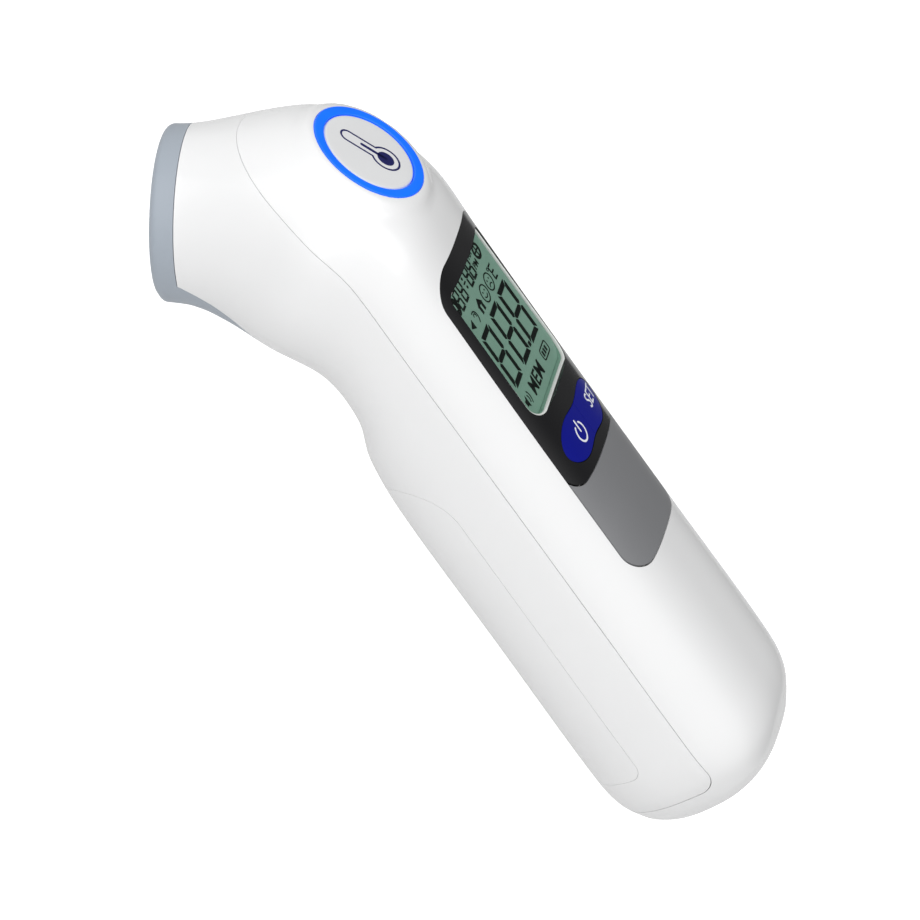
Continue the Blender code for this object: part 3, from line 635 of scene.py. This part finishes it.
def moulded(name, colour, rough, coat=0.0, grain=0.002, grain_scale=5000.0, change=0.03, shine=0.5):
    """Moulded plastic: faint flow shading, a fine skin of a grain in millimetres, and uneven gloss."""
    made = Finish(name)
    flow = made.noise(45.0, 3.0, (1.0, 1.0, 0.5))
    made.colour(flow, shade_of(colour, 1 - change), shade_of(colour, 1 + change))
    made.rough(made.noise(60.0, 2.0), rough - 0.01, rough + 0.015)
    made.bump(made.noise(grain_scale, 2.0), grain)
    made.set(Specular_IOR_Level=shine)
    if coat:
        made.set(Coat_Weight=coat, Coat_Roughness=0.06)
    return made.made


def metal(name, colour, rough, stretch=(1.0, 1.0, 1.0)):
    """Bare or plated metal with drawn or turned marks."""
    made = Finish(name)
    made.set(Metallic=1.0)
    marks = made.noise(900.0, 4.0, stretch)
    made.colour(marks, shade_of(colour, 0.86), shade_of(colour, 1.08))
    made.rough(marks, rough - 0.06, rough + 0.1)
    made.bump(marks, 0.004)
    return made.made


def circuit_board():
    """Green solder mask with copper tracks that show through it."""
    made = Finish("board_green")
    track = made.node("ShaderNodeTexBrick", {
        "Scale": 240.0, "Mortar Size": 0.035, "Mortar": (0.04, 0.26, 0.09, 1.0),
        "Color1": (0.012, 0.12, 0.045, 1.0), "Color2": (0.016, 0.15, 0.055, 1.0)})
    made.link(made.coords, track.inputs["Vector"])
    made.link(track.outputs["Color"], made.shader.inputs["Base Color"])
    made.rough(made.noise(300.0), 0.25, 0.4)
    made.bump(track.outputs["Fac"], 0.02, 0.5)
    return made.made


def display_cell():
    """Reflective liquid-crystal cell: grey-green, with the fine speckle of its polariser."""
    made = Finish("lcd")
    made.colour(made.noise(30.0, 2.0), (0.19, 0.355, 0.27), (0.235, 0.40, 0.315))
    made.rough(made.noise(900.0), 0.32, 0.45)
    made.bump(made.noise(9000.0, 1.0), 0.003)
    return made.made


def clear_cover():
    """Clear window plastic that lets nearly everything through."""
    made = Finish("clear_lens")
    made.colour(made.noise(60.0), (0.03, 0.04, 0.036), (0.04, 0.05, 0.046))
    made.rough(made.noise(500.0), 0.03, 0.07)
    made.set(Alpha=0.06)
    return made.made


def banded(name, low, high, scale, rough, stretch=(1.0, 1.0, 1.0)):
    """Film with printed bands or copper tracks."""
    made = Finish(name)
    wave = made.node("ShaderNodeTexWave", {"Scale": scale, "Distortion": 0.0}, bands_direction="Y")
    made.link(made.coords, wave.inputs["Vector"])
    made.colour(wave.outputs["Fac"], low, high, 0.45, 0.55)
    made.rough(made.noise(500.0, 3.0, stretch), rough - 0.05, rough + 0.08)
    made.bump(wave.outputs["Fac"], 0.01, 0.5)
    return made.made


def cell_jacket():
    """Dark printed sleeve of a battery with a copper-coloured end band."""
    made = Finish("cell_jacket")
    split = made.node("ShaderNodeSeparateXYZ")
    made.link(made.coords, split.inputs["Vector"])
    low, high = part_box("battery_left")
    band = made.node("ShaderNodeMapRange", {"From Min": low[0], "From Max": high[0]})
    made.link(split.outputs["X"], band.inputs["Value"])
    made.colour(band.outputs["Result"], (0.02, 0.035, 0.06), (0.42, 0.2, 0.07), 0.74, 0.745)
    made.rough(made.noise(400.0), 0.22, 0.34)
    made.bump(made.noise(1500.0, 4.0), 0.004)
    return made.made


def glowing_ring():
    """Translucent blue plastic of the light ring, lit a little from behind."""
    made = Finish("blue_ring")
    made.colour(made.noise(140.0, 2.0), (0.0, 0.12, 0.9), (0.0, 0.15, 1.0))
    made.rough(made.noise(400.0), 0.28, 0.38)
    made.bump(made.noise(6000.0), 0.002)
    made.set(Emission_Color=(0.0, 0.14, 1.0, 1.0), Emission_Strength=0.3)
    return made.made


MOULDED = {
    "white_shell": dict(colour=(0.8, 0.802, 0.805), rough=0.24, coat=0.35, change=0.003),
    "white_back": dict(colour=(0.785, 0.787, 0.79), rough=0.24, coat=0.3, change=0.003),
    "white_cover": dict(colour=(0.785, 0.787, 0.79), rough=0.24, coat=0.3, change=0.003),
    "grey_cap": dict(colour=(0.33, 0.37, 0.42), rough=0.42, grain=0.006, grain_scale=3500.0),
    "black_gloss": dict(colour=(0.008, 0.008, 0.009), rough=0.16, coat=0.2, grain=0.001, shine=0.3),
    "pale_bezel": dict(colour=(0.7, 0.72, 0.7), rough=0.4),
    "grey_inlay": dict(colour=(0.195, 0.198, 0.206), rough=0.38, grain=0.004, grain_scale=4000.0),
    "blue_key": dict(colour=(0.002, 0.005, 0.22), rough=0.36, grain=0.004, grain_scale=4500.0, shine=0.2),
    "light_guide": dict(colour=(0.88, 0.92, 0.9), rough=0.3),
    "frame_white": dict(colour=(0.74, 0.75, 0.74), rough=0.5, grain=0.01, grain_scale=2500.0),
    "chip_black": dict(colour=(0.02, 0.02, 0.021), rough=0.5, grain=0.012, grain_scale=6000.0, change=0.2),
    "switch_can": dict(colour=(0.09, 0.09, 0.1), rough=0.4, grain=0.008, grain_scale=3000.0, change=0.1),
    "button_face": dict(colour=(0.72, 0.725, 0.73), rough=0.33, grain=0.003),
    "probe_white": dict(colour=(0.76, 0.77, 0.78), rough=0.32),
    "sensor_window": dict(colour=(0.05, 0.035, 0.06), rough=0.12, coat=0.5, grain=0.001),
    "tray_grey": dict(colour=(0.58, 0.59, 0.6), rough=0.5, grain=0.01, grain_scale=2500.0),
    "lead_black": dict(colour=(0.02, 0.02, 0.02), rough=0.5, grain=0.006, grain_scale=2500.0, change=0.15),
    "lead_red": dict(colour=(0.5, 0.02, 0.02), rough=0.5, grain=0.006, grain_scale=2500.0, change=0.1),
    "lcd_ink": dict(colour=(0.002, 0.004, 0.003), rough=0.7, change=0.2, shine=0.08),
    "print_navy": dict(colour=(0.004, 0.006, 0.09), rough=0.4, change=0.15),
    "print_white": dict(colour=(0.82, 0.84, 0.87), rough=0.4, change=0.05),
}
METAL = {
    "gold": dict(colour=(0.92, 0.66, 0.26), rough=0.18),
    "brass": dict(colour=(0.72, 0.52, 0.24), rough=0.32, stretch=(1.0, 1.0, 6.0)),
    "sensor_can": dict(colour=(0.62, 0.62, 0.61), rough=0.24),
    "contact_steel": dict(colour=(0.66, 0.66, 0.66), rough=0.22, stretch=(6.0, 1.0, 1.0)),
    "screw_steel": dict(colour=(0.52, 0.52, 0.54), rough=0.28, stretch=(1.0, 6.0, 1.0)),
}
BANDED = {
    "contact_rubber": dict(low=(0.3, 0.08, 0.1), high=(0.02, 0.02, 0.02), scale=900.0, rough=0.65),
    "flex_amber": dict(low=(0.42, 0.17, 0.02), high=(0.62, 0.3, 0.08), scale=700.0, rough=0.35,
                       stretch=(6.0, 1.0, 1.0)),
}
FINISHES = {
    "board_green": circuit_board(),
    "blue_ring": glowing_ring(),
    "cell_jacket": cell_jacket(),
    "lcd": display_cell(),
    "clear_lens": clear_cover(),
}
for maker, looks in ((moulded, MOULDED), (metal, METAL), (banded, BANDED)):
    for slot_name, look in looks.items():
        FINISHES[slot_name] = maker(slot_name, **look)


# ---- casing

def upper_case():
    piece = form(SKIN)
    region = seam_line(HALF_GAP - LINE / 2)
    region += [(FAR_RIGHT, SEAM_FOOT), (FAR_RIGHT, FAR_UP), (FAR_LEFT, FAR_UP)]
    combine(piece, side_prism(region), "INTERSECT")
    combine(piece, inner_form(WALL))
    combine(piece, in_front_of(CAP_DEPTH + LINE / 2))
    bore = RING_OUTER + 0.1
    combine(piece, spun("tool", BUTTON_CENTRE, BUTTON_NORMAL, ((-9.0, bore), (6.0, bore))))
    combine(piece, plan_prism(panel_outline(0.0)))
    combine(piece, combine(plan_prism(slot_outline(0.0)), form(1.4)))
    place_cut(piece, "case_upper", "housing", "white_shell", "top_shell")


def lower_case():
    piece = form(SKIN)
    region = seam_line(HALF_GAP + LINE / 2)
    region += [(SEAM_END - SEAM_LEAN - 0.4, FAR_DOWN), (FAR_LEFT, FAR_DOWN)]
    combine(piece, side_prism(region), "INTERSECT")
    combine(piece, inner_form(WALL))
    combine(piece, in_front_of(CAP_DEPTH + LINE / 2))
    combine(piece, side_prism(cover_outline(HALF_GAP + COVER_LINE / 2)))
    combine(piece, combine(tail_prism(HALF_GAP), form(TAIL_LAYER + 0.25)))
    place_cut(piece, "case_lower", "housing", "white_back", "bottom_shell")


def battery_door():
    piece = layer(COVER_THICKNESS)
    combine(piece, side_prism(cover_outline(HALF_GAP - COVER_LINE / 2)), "INTERSECT")
    place_cut(piece, "battery_door", "battery_cover", "white_cover", "battery_cover", edge=COVER_LINE)


def front_cap():
    """Band and tail, with a dished front that has a rolled mouth, and the sleeve behind it."""
    piece = layer(TAIL_LAYER)
    region = combine(in_front_of(CAP_DEPTH - LINE / 2), tail_prism(0.0), "UNION")
    combine(piece, region, "INTERSECT")
    mouth = 6.4
    dish = [(-0.12, 12.9), (-0.3, 12.1), (-0.9, 9.9), (-1.4, 7.8)]
    lip = [(-2.0 + along, mouth + 0.6 - outwards) for along, outwards in rolled(0.6, 70.0, 0.0, 5)]
    under = [(-3.4, mouth), (-3.4, mouth + 1.0), (-2.6, 8.4), (-1.9, 12.9)]
    combine(piece, spun("tool", NOSE, HEAD_OUT, dish + lip + under, 128, True), "UNION")
    sleeve = ((-8.5, 11.0), (-8.5, 9.8), (-1.2, 9.8), (-1.2, 11.0))
    combine(piece, spun("tool", NOSE, HEAD_OUT, sleeve, 128, True), "UNION")
    place_cut(piece, "front_cap", "forehead_cap", "grey_cap", "forehead_cap")


# ---- display, keys and inlay

def panel():
    piece = layer(1.0)
    combine(piece, plan_prism(panel_outline(0.08)), "INTERSECT")
    combine(piece, plan_prism(window_outline(0.0)))
    for side in (-1, 1):
        combine(piece, plan_prism(key_outline(side, 0.12, -0.5)))
    place_cut(piece, "panel", "housing", "black_gloss", "display_panel", edge=PANEL_EDGE)


def window_edge(name, rings, slot, *replaced):
    """A band round the window. Each ring of it has a step in from the window's edge and a depth below the
    face, or None where it lies on the strip's floor."""
    loops = [[Vector((x, y, STRIP_FLOOR if sink is None else face_level(y) - sink))
              for x, y in window_outline(shrink)] for shrink, sink in rings]
    piece = solid(name, loops, True)
    shade(piece, False, 50.0)
    place_piece(piece, name, "housing", slot, *replaced)


def window_strip():
    """Pale strip round the window, above the green edge that runs down to the display cell."""
    strip = ((0.06, 0.12), (0.14, 0.08), (0.38, 0.3), (0.38, 0.6), (0.06, 0.6))
    window_edge("window_strip", strip, "pale_bezel", "display_bezel")
    window_edge("cell_edge", ((0.08, 0.62), (0.4, 0.62), (0.4, None), (0.08, None)), "lcd")


def window_cover():
    piece = layer(0.35, 0.15 + SKIN)
    combine(piece, plan_prism(window_outline(LCD_MARGIN)), "INTERSECT")
    shade(piece)
    place_piece(piece, "window_cover", "housing", "clear_lens", "display_lens")


def inlay():
    piece = layer(1.1)
    combine(piece, plan_prism(slot_outline(0.2)), "INTERSECT")
    combine(piece, plan_prism(panel_outline(-0.1)))
    place_cut(piece, "inlay", "housing", "grey_inlay", "handle_inlay", edge=PANEL_EDGE)


def key_cap(name, body, side):
    piece = layer(2.4, SKIN + 0.04)
    combine(piece, plan_prism(key_outline(side, 0.0, 0.04), -3.9), "INTERSECT")
    place_cut(piece, name, body, "blue_key", body, edge=KEY_EDGE, segments=3)


def display_cell_piece():
    """The liquid-crystal cell: two glass plates with a fine groove where they meet."""
    levels = ((0.05, 0.0), (0.0, 0.05), (0.0, 0.6), (0.05, 0.63), (0.0, 0.66), (0.0, LCD_THICKNESS))
    rings = [[Vector((x, y, LCD_TOP - drop)) for x, y in window_outline(LCD_MARGIN + notch)]
             for notch, drop in levels]
    piece = solid("cell", rings)
    shade(piece, False)
    place_piece(piece, "display_cell", "housing", "lcd", "lcd_glass")


# ---- signs and figures

class Sign:
    """Flat printed shapes. Each is drawn as (right, up) from its centre, as a reader sees it."""

    def __init__(self, surface, thickness=0.03, sink=0.02):
        self.surface = surface
        self.thickness = thickness
        self.sink = sink
        self.bm = bmesh.new()

    def corners(self, points, centre, lift):
        return [self.bm.verts.new(self.surface(centre[0] + r, centre[1] + u, lift)) for r, u in points]

    def plate(self, points, centre=(0.0, 0.0)):
        """A filled convex outline."""
        top = self.corners(points, centre, self.thickness)
        under = self.corners(points, centre, -self.sink)
        self.bm.faces.new(top)
        self.bm.faces.new(reversed(under))
        for index in range(len(points)):
            after = (index + 1) % len(points)
            self.bm.faces.new((top[index], under[index], under[after], top[after]))

    def bar(self, left, low, right, high):
        self.plate(((left, low), (right, low), (right, high), (left, high)))

    def strip(self, pairs, centre=(0.0, 0.0), closed=False):
        """A band between pairs of left and right points."""
        left = [pair[0] for pair in pairs]
        right = [pair[1] for pair in pairs]
        rows = [self.corners(points, centre, lift)
                for points, lift in ((left, self.thickness), (right, self.thickness),
                                     (right, -self.sink), (left, -self.sink))]
        count = len(pairs)
        steps = range(count) if closed else range(count - 1)
        for index in steps:
            after = (index + 1) % count
            for near, far in zip(rows, rows[1:] + rows[:1]):
                self.bm.faces.new((near[index], near[after], far[after], far[index]))
        if not closed:
            self.bm.faces.new([row[0] for row in rows])
            self.bm.faces.new([row[-1] for row in reversed(rows)])

    def line(self, points, width, centre=(0.0, 0.0), closed=False):
        """A stroke of one width with rounded ends."""
        half = width / 2
        path = [Vector(point) for point in points]
        count = len(path)
        pairs = []
        for index, here in enumerate(path):
            before = path[index - 1] if closed or index else here
            after = path[(index + 1) % count] if closed or index < count - 1 else here
            run_in = (here - before).normalized() if before != here else (after - here).normalized()
            run_out = (after - here).normalized() if after != here else run_in
            mean = (run_in + run_out).normalized()
            across = Vector((-mean.y, mean.x)) * half / max(mean.dot(run_in), 0.4)
            pairs.append((here + across, here - across))
        if not closed:
            pairs = self.end_cap(path[0], path[1], half)[::-1] + pairs + [
                pair[::-1] for pair in self.end_cap(path[-1], path[-2], half)]
        self.strip(pairs, centre, closed)

    @staticmethod
    def end_cap(tip, inner, half):
        """Pairs of points round the end of a stroke, from its full width outwards."""
        out = (tip - inner).normalized()
        side = Vector((out.y, -out.x))
        turns = [math.radians(angle) for angle in (30.0, 55.0, 75.0)]
        return [(tip + (out * math.sin(turn) + side * math.cos(turn)) * half,
                 tip + (out * math.sin(turn) - side * math.cos(turn)) * half) for turn in turns]

    def arc(self, radius, start, end, width, centre=(0.0, 0.0), steps=20, squash=1.0):
        """Part of a circle, angles in degrees from the right-hand side, going anticlockwise."""
        closed = abs(end - start) >= 360.0
        points = [(x, y * squash) for x, y in bend((0.0, 0.0), radius, start, end, steps)]
        self.line(points[:-1] if closed else points, width, centre, closed)

    def disc(self, radius, centre, steps=24):
        self.plate(bend((0.0, 0.0), radius, 0.0, 360.0, steps)[:-1], centre)

    def words(self, text, height, centre, width=None, bold=0.0):
        """Plain capital letters, fitted to a height and, if given, a width."""
        curve = bpy.data.curves.new("words", "FONT")
        curve.body = text
        curve.size = 1.0
        curve.offset = bold
        curve.extrude = 0.5
        holder = bpy.data.objects.new("words", curve)
        bpy.context.scene.collection.objects.link(holder)
        bpy.context.view_layer.update()
        graph = bpy.context.evaluated_depsgraph_get()
        mesh = bpy.data.meshes.new_from_object(holder.evaluated_get(graph))
        bpy.data.objects.remove(holder)
        across = [vertex.co.x for vertex in mesh.vertices]
        upright = [vertex.co.y for vertex in mesh.vertices]
        low_x, high_x = min(across), max(across)
        low_y, high_y = min(upright), max(upright)
        tall = height / (high_y - low_y)
        wide = width / (high_x - low_x) if width else tall
        for vertex in mesh.vertices:
            right = (vertex.co.x - (low_x + high_x) / 2) * wide
            up = (vertex.co.y - (low_y + high_y) / 2) * tall
            lift = self.thickness if vertex.co.z > 0 else -self.sink
            vertex.co = self.surface(centre[0] + right, centre[1] + up, lift)
        self.bm.from_mesh(mesh)
        bpy.data.meshes.remove(mesh)

    def digit(self, centre, width, height, stroke, shown="abcdefg"):
        """A seven-segment figure with mitred bars."""
        w = width / 2 - stroke / 2
        h = height / 2 - stroke / 2
        s = stroke / 2
        gap = stroke * 0.16
        for name in shown:
            way = -1 if name in "cde" else 1
            if name == "g":
                outline = [(gap - w, 0), (gap + s - w, s), (w - gap - s, s), (w - gap, 0),
                           (w - gap - s, -s), (gap + s - w, -s)]
            elif name in "ad":
                out, into = way * (h + s), way * (h - s)
                outline = [(2 * gap - w - s, out), (w + s - 2 * gap, out), (w - s, into), (s - w, into)]
            else:
                side = 1 if name in "bc" else -1
                out, into = side * (w + s), side * (w - s)
                outline = [(out, way * (h + s - 2.5 * gap)), (out, way * (gap + s * 0.6)),
                           (side * w, way * gap), (into, way * (gap + s)), (into, way * (h - s - gap))]
            self.plate(outline, centre)

    def finish(self, name, body, slot):
        piece = new_object(name, self.bm)
        shade(piece, False, 30.0)
        place_piece(piece, name, body, slot)


def on_display(right, up, lift):
    return Vector((-up, right, LCD_TOP + 0.03 + lift))


def on_key(right, up, lift):
    return Vector((-up, right, face_level(right) - 0.04 + lift))


def on_button(right, up, lift):
    return BUTTON_CENTRE - BUTTON_DOWN * up + Y_AXIS * right + BUTTON_NORMAL * (BUTTON_TOP + lift)


def face_sign(sign, centre, smile):
    """A round face with two eyes and a mouth that turns up or down."""
    sign.arc(1.45, 0.0, 360.0, 0.24, centre, 32)
    for eye in (-0.5, 0.5):
        sign.disc(0.16, (centre[0] + eye, centre[1] + 0.4), 10)
    if smile:
        sign.arc(0.75, 215.0, 325.0, 0.2, (centre[0], centre[1] + 0.05), 10)
    else:
        sign.arc(0.75, 35.0, 145.0, 0.2, (centre[0], centre[1] - 1.1), 10)


def clock_row(sign, up):
    """Memory mark, clock, morning and afternoon marks, and a round mark."""
    sign.arc(0.7, 250.0, 430.0, 1.1, (-9.95, up), 16, 1.5)
    for right in (-7.75, -4.95, -0.3, 2.05):
        sign.digit((right, up), 2.1, 3.7, 0.46)
    colon = -2.55
    for rise in (0.8, -0.8):
        sign.disc(0.28, (colon, up + rise), 12)
    sign.line(((-0.45, 0.0), (0.45, 0.0)), 0.26, (colon, up))
    sign.words("AM", 1.2, (4.5, up + 1.2), 1.9, 0.01)
    sign.words("PM", 1.2, (4.5, up - 0.8), 1.9, 0.01)
    mark = (7.4, up)
    sign.arc(1.2, 0.0, 360.0, 0.5, mark, 32)
    sign.line(((-1.0, 0.0), (1.0, 0.0)), 0.3, mark)
    sign.line(((0.0, -1.0), (0.0, 1.0)), 0.3, mark)


def mode_row(sign, up):
    """Pointer, ear, house, two faces and the unit."""
    sign.plate(((-9.95, up), (-8.3, up - 0.85), (-8.3, up + 0.85)))
    sign.arc(1.15, -60.0, 110.0, 0.24, (-6.6, up), 16)
    sign.arc(0.5, -20.0, 150.0, 0.2, (-6.4, up + 0.2), 12)
    sign.plate(((-3.85, up + 0.1), (-1.25, up + 0.1), (-2.55, up + 1.35)))
    for right in (-3.25, -1.85):
        sign.bar(right - 0.35, up - 1.2, right + 0.35, up + 0.15)
    face_sign(sign, (1.1, up), True)
    face_sign(sign, (4.7, up), False)
    sign.arc(0.28, 0.0, 360.0, 0.14, (6.7, up + 1.1), 12)
    sign.digit((7.9, up), 1.6, 2.6, 0.3, "adefg")


def reading(sign, up):
    """The three large digits and their point."""
    for right in (-6.95, 0.1, 6.75):
        sign.digit((right, up), 5.1, 10.2, 0.98)
    point = (3.45, up - 4.4)
    half = 0.42
    sign.bar(point[0] - half, point[1] - half, point[0] + half, point[1] + half)


def status_row(sign, up):
    """Loudspeaker, memory sign and battery."""
    sign.bar(-9.9, up - 0.5, -9.35, up + 0.5)
    sign.plate(((-9.35, up - 0.5), (-8.75, up - 1.05), (-8.75, up + 1.05), (-9.35, up + 0.5)))
    for radius in (0.9, 1.6):
        sign.arc(radius, -40.0, 40.0, 0.22, (-8.75, up), 10)
    sign.words("MEM", 2.6, (-1.6, up), 7.4, 0.012)
    level = up + 0.2
    outline = rounded_rectangle(-0.95, 0.95, 1.85, 0.5, 0.5, 5)
    sign.line([(6.35 + across, level + rise) for rise, across in outline], 0.22, (0.0, 0.0), True)
    for right in (5.3, 6.2, 7.1):
        sign.bar(right - 0.27, level - 0.5, right + 0.27, level + 0.5)


def display_figures():
    """All segments of the display, as they show when it is switched on."""
    sign = Sign(on_display, 0.02, 0.03)
    clock_row(sign, -16.3)
    mode_row(sign, -20.8)
    reading(sign, -28.2)
    status_row(sign, -36.1)
    sign.finish("display_figures", "housing", "lcd_ink")


def power_sign():
    sign = Sign(on_key)
    centre = (-3.5, -46.8)
    stroke = 0.35
    sign.arc(1.6, 125.0, 415.0, stroke, centre, 36)
    sign.line(((0.0, 0.1), (0.0, 2.1)), stroke, centre)
    sign.finish("power_sign", "power_key", "print_white")


def set_sign():
    sign = Sign(on_key)
    sign.words("SET", 2.5, (7.0, -46.2), 4.9, 0.0)
    sign.finish("set_sign", "set_key", "print_white")


def thermometer_sign():
    """Thermometer outline, with its bulb towards the handle."""
    centre = (0.7, 0.0)
    bulb_up = -2.85
    stem_up = 4.05
    outer = 2.45
    half_stem = 1.22
    neck = math.degrees(math.asin(half_stem / outer))
    outline = bend((0.0, stem_up), half_stem, 0.0, 180.0, 12)
    outline += bend((0.0, bulb_up), outer, 90.0 + neck, 450.0 - neck, 32)
    sign = Sign(on_button)
    sign.line(outline, 0.34, centre, True)
    sign.disc(1.5, (centre[0], centre[1] + bulb_up), 32)
    sign.line(((0.0, bulb_up), (0.0, 1.5)), 0.6, centre)
    sign.finish("thermometer_sign", "measure_button", "print_navy")


# ---- button, ring and probe

def measure_button():
    edge = 0.5
    foot = -2.8
    stem = 1.8
    profile = [(BUTTON_TOP, 1.0), (BUTTON_TOP, 6.8)]
    profile += [(BUTTON_TOP - edge + along, BUTTON_RADIUS - edge + outwards)
                for along, outwards in rolled(edge, 90.0, 0.0, 6)]
    profile += [(foot, BUTTON_RADIUS), (foot, stem), (-6.4, stem)]
    piece = spun("button", BUTTON_CENTRE, BUTTON_NORMAL, profile)
    shade(piece, False, 50.0)
    place_piece(piece, "button_cap", "measure_button", "button_face", "measure_button")


def light_ring():
    inner = BUTTON_RADIUS + 0.08
    edge = 0.2
    top = -0.1
    foot = -4.0
    profile = [(foot, inner), (top, inner)]
    profile += [(top + along, inner + edge - outwards) for along, outwards in rolled(edge, 0.0, 90.0, 4)]
    profile += [(top + along, RING_OUTER - edge + outwards) for along, outwards in rolled(edge, 90.0, 0.0, 4)]
    profile += [(foot, RING_OUTER)]
    piece = spun("ring", BUTTON_CENTRE, BUTTON_NORMAL, profile, 128, True)
    shade(piece, False, 50.0)
    place_piece(piece, "light_ring", "housing", "blue_ring", "button_light_ring")


def ear_probe():
    """Smooth cone with a rounded tip, a collar and a mounting flange."""
    edge = 0.5
    tip = [(1.9 + edge - along, 3.6 + outwards - edge) for along, outwards in rolled(edge, 90.0, 10.0, 6)]
    cone = []
    for step in range(1, 13):
        share = step / 12
        cone.append((2.6 + 9.4 * share, 4.1 + 3.3 * share**1.6))
    flange = [(12.6, 9.2), (12.8, 9.6), (14.0, 9.6), (14.2, 9.4), (14.2, 3.0), (1.95, 3.0)]
    piece = spun("probe", NOSE, -HEAD_OUT, tip + cone + flange, 96, True)
    shade(piece, False, 40.0)
    place_piece(piece, "probe_cone", "housing", "probe_white", "ear_probe")


def inner_finishes():
    """Give each CAD node that still shows the finish of its record slot."""
    for entry in frame["record"]["subparts"]:
        node = frame["nodes"][entry["node"]]
        node.data.materials.clear()
        node.data.materials.append(FINISHES[entry["material_slot"]])


# ---- floor, light and camera

def floor_plane():
    """A pale floor that glows a little by itself."""
    bm = bmesh.new()
    bmesh.ops.create_grid(bm, x_segments=1, y_segments=1, size=FLOOR_HALF_SIZE)
    floor = new_object("floor", bm)
    floor.location = (0.0, 0.0, FLOOR_LEVEL)
    pale = moulded("floor_pale", (0.8, 0.8, 0.8), 0.9, grain=0.0, grain_scale=50.0, change=0.005)
    shader = pale.node_tree.nodes["Principled BSDF"]
    shader.inputs["Emission Color"].default_value = (1.0, 1.0, 1.0, 1.0)
    shader.inputs["Emission Strength"].default_value = FLOOR_GLOW
    floor.data.materials.append(pale)
    only_floor = bpy.data.collections.new("floor_glow_lights")
    only_floor.objects.link(floor)
    floor.light_linking.receiver_collection = only_floor


def room():
    """A white room, darker on the side that the display face mirrors."""
    world = bpy.data.worlds.new("studio")
    bpy.context.scene.world = world
    world.use_nodes = True
    tree = world.node_tree
    back = tree.nodes["Background"]
    back.inputs["Color"].default_value = (1.0, 1.0, 1.0, 1.0)
    direction = new_node(tree, "ShaderNodeTexCoord").outputs["Generated"]
    facing = new_node(tree, "ShaderNodeVectorMath", {1: DARK_SIDE}, operation="DOT_PRODUCT")
    tree.links.new(direction, facing.inputs[0])
    limits = {"From Min": 0.35, "From Max": 0.9, "To Min": ROOM_LIGHT, "To Max": ROOM_DARK}
    fade = new_node(tree, "ShaderNodeMapRange", limits, interpolation_type="SMOOTHSTEP")
    tree.links.new(facing.outputs["Value"], fade.inputs["Value"])
    tree.links.new(fade.outputs["Result"], back.inputs["Strength"])


def softbox(name, toward, distance, size, power, target):
    """A square lamp at a distance in a direction from the target, facing it."""
    lamp = bpy.data.lights.new(name, "AREA")
    lamp.shape = "SQUARE"
    lamp.size = size
    lamp.energy = power
    holder = bpy.data.objects.new(name, lamp)
    bpy.context.scene.collection.objects.link(holder)
    toward = Vector(toward).normalized()
    holder.location = target + toward * distance
    holder.rotation_euler = toward.to_track_quat("Z", "Y").to_euler()


def camera():
    """Long lens, rolled so that the handle runs down to the right of the picture."""
    target = HANDLE @ VIEW_TARGET
    turn = HANDLE.to_3x3().normalized()
    right = (turn @ VIEW_RIGHT).normalized()
    toward = (turn @ VIEW_TOWARD).normalized()
    up = toward.cross(right).normalized()
    lens = bpy.data.cameras.new("camera")
    lens.lens = LENS_PER_METRE * VIEW_DISTANCE
    lens.sensor_width = 36.0
    lens.clip_end = 20.0
    holder = bpy.data.objects.new("camera", lens)
    bpy.context.scene.collection.objects.link(holder)
    placed = Matrix((right, up, toward)).transposed().to_4x4()
    placed.translation = (target + toward * VIEW_DISTANCE
                          + right * VIEW_SHIFT_RIGHT * MM + up * VIEW_SHIFT_UP * MM)
    holder.matrix_world = placed
    bpy.context.scene.camera = holder
    return target, right, up, toward


def lights(target, right, up, toward):
    """Two soft boxes, placed by the camera's own directions."""
    softbox("key", toward + up * 0.25 - right * 0.35, 1.0, 1.3, 4.4, target)
    softbox("fill", toward + right * 0.9 + up * 0.5, 1.1, 0.8, 2.4, target)


def build():
    upper_case()
    lower_case()
    battery_door()
    front_cap()
    panel()
    window_strip()
    window_cover()
    inlay()
    key_cap("power_key_cap", "power_key", -1)
    key_cap("set_key_cap", "set_key", 1)
    display_cell_piece()
    display_figures()
    power_sign()
    set_sign()
    measure_button()
    light_ring()
    thermometer_sign()
    ear_probe()
    inner_finishes()
    floor_plane()
    room()
    lights(*camera())
    bpy.context.scene.view_settings.view_transform = "Standard"


build()
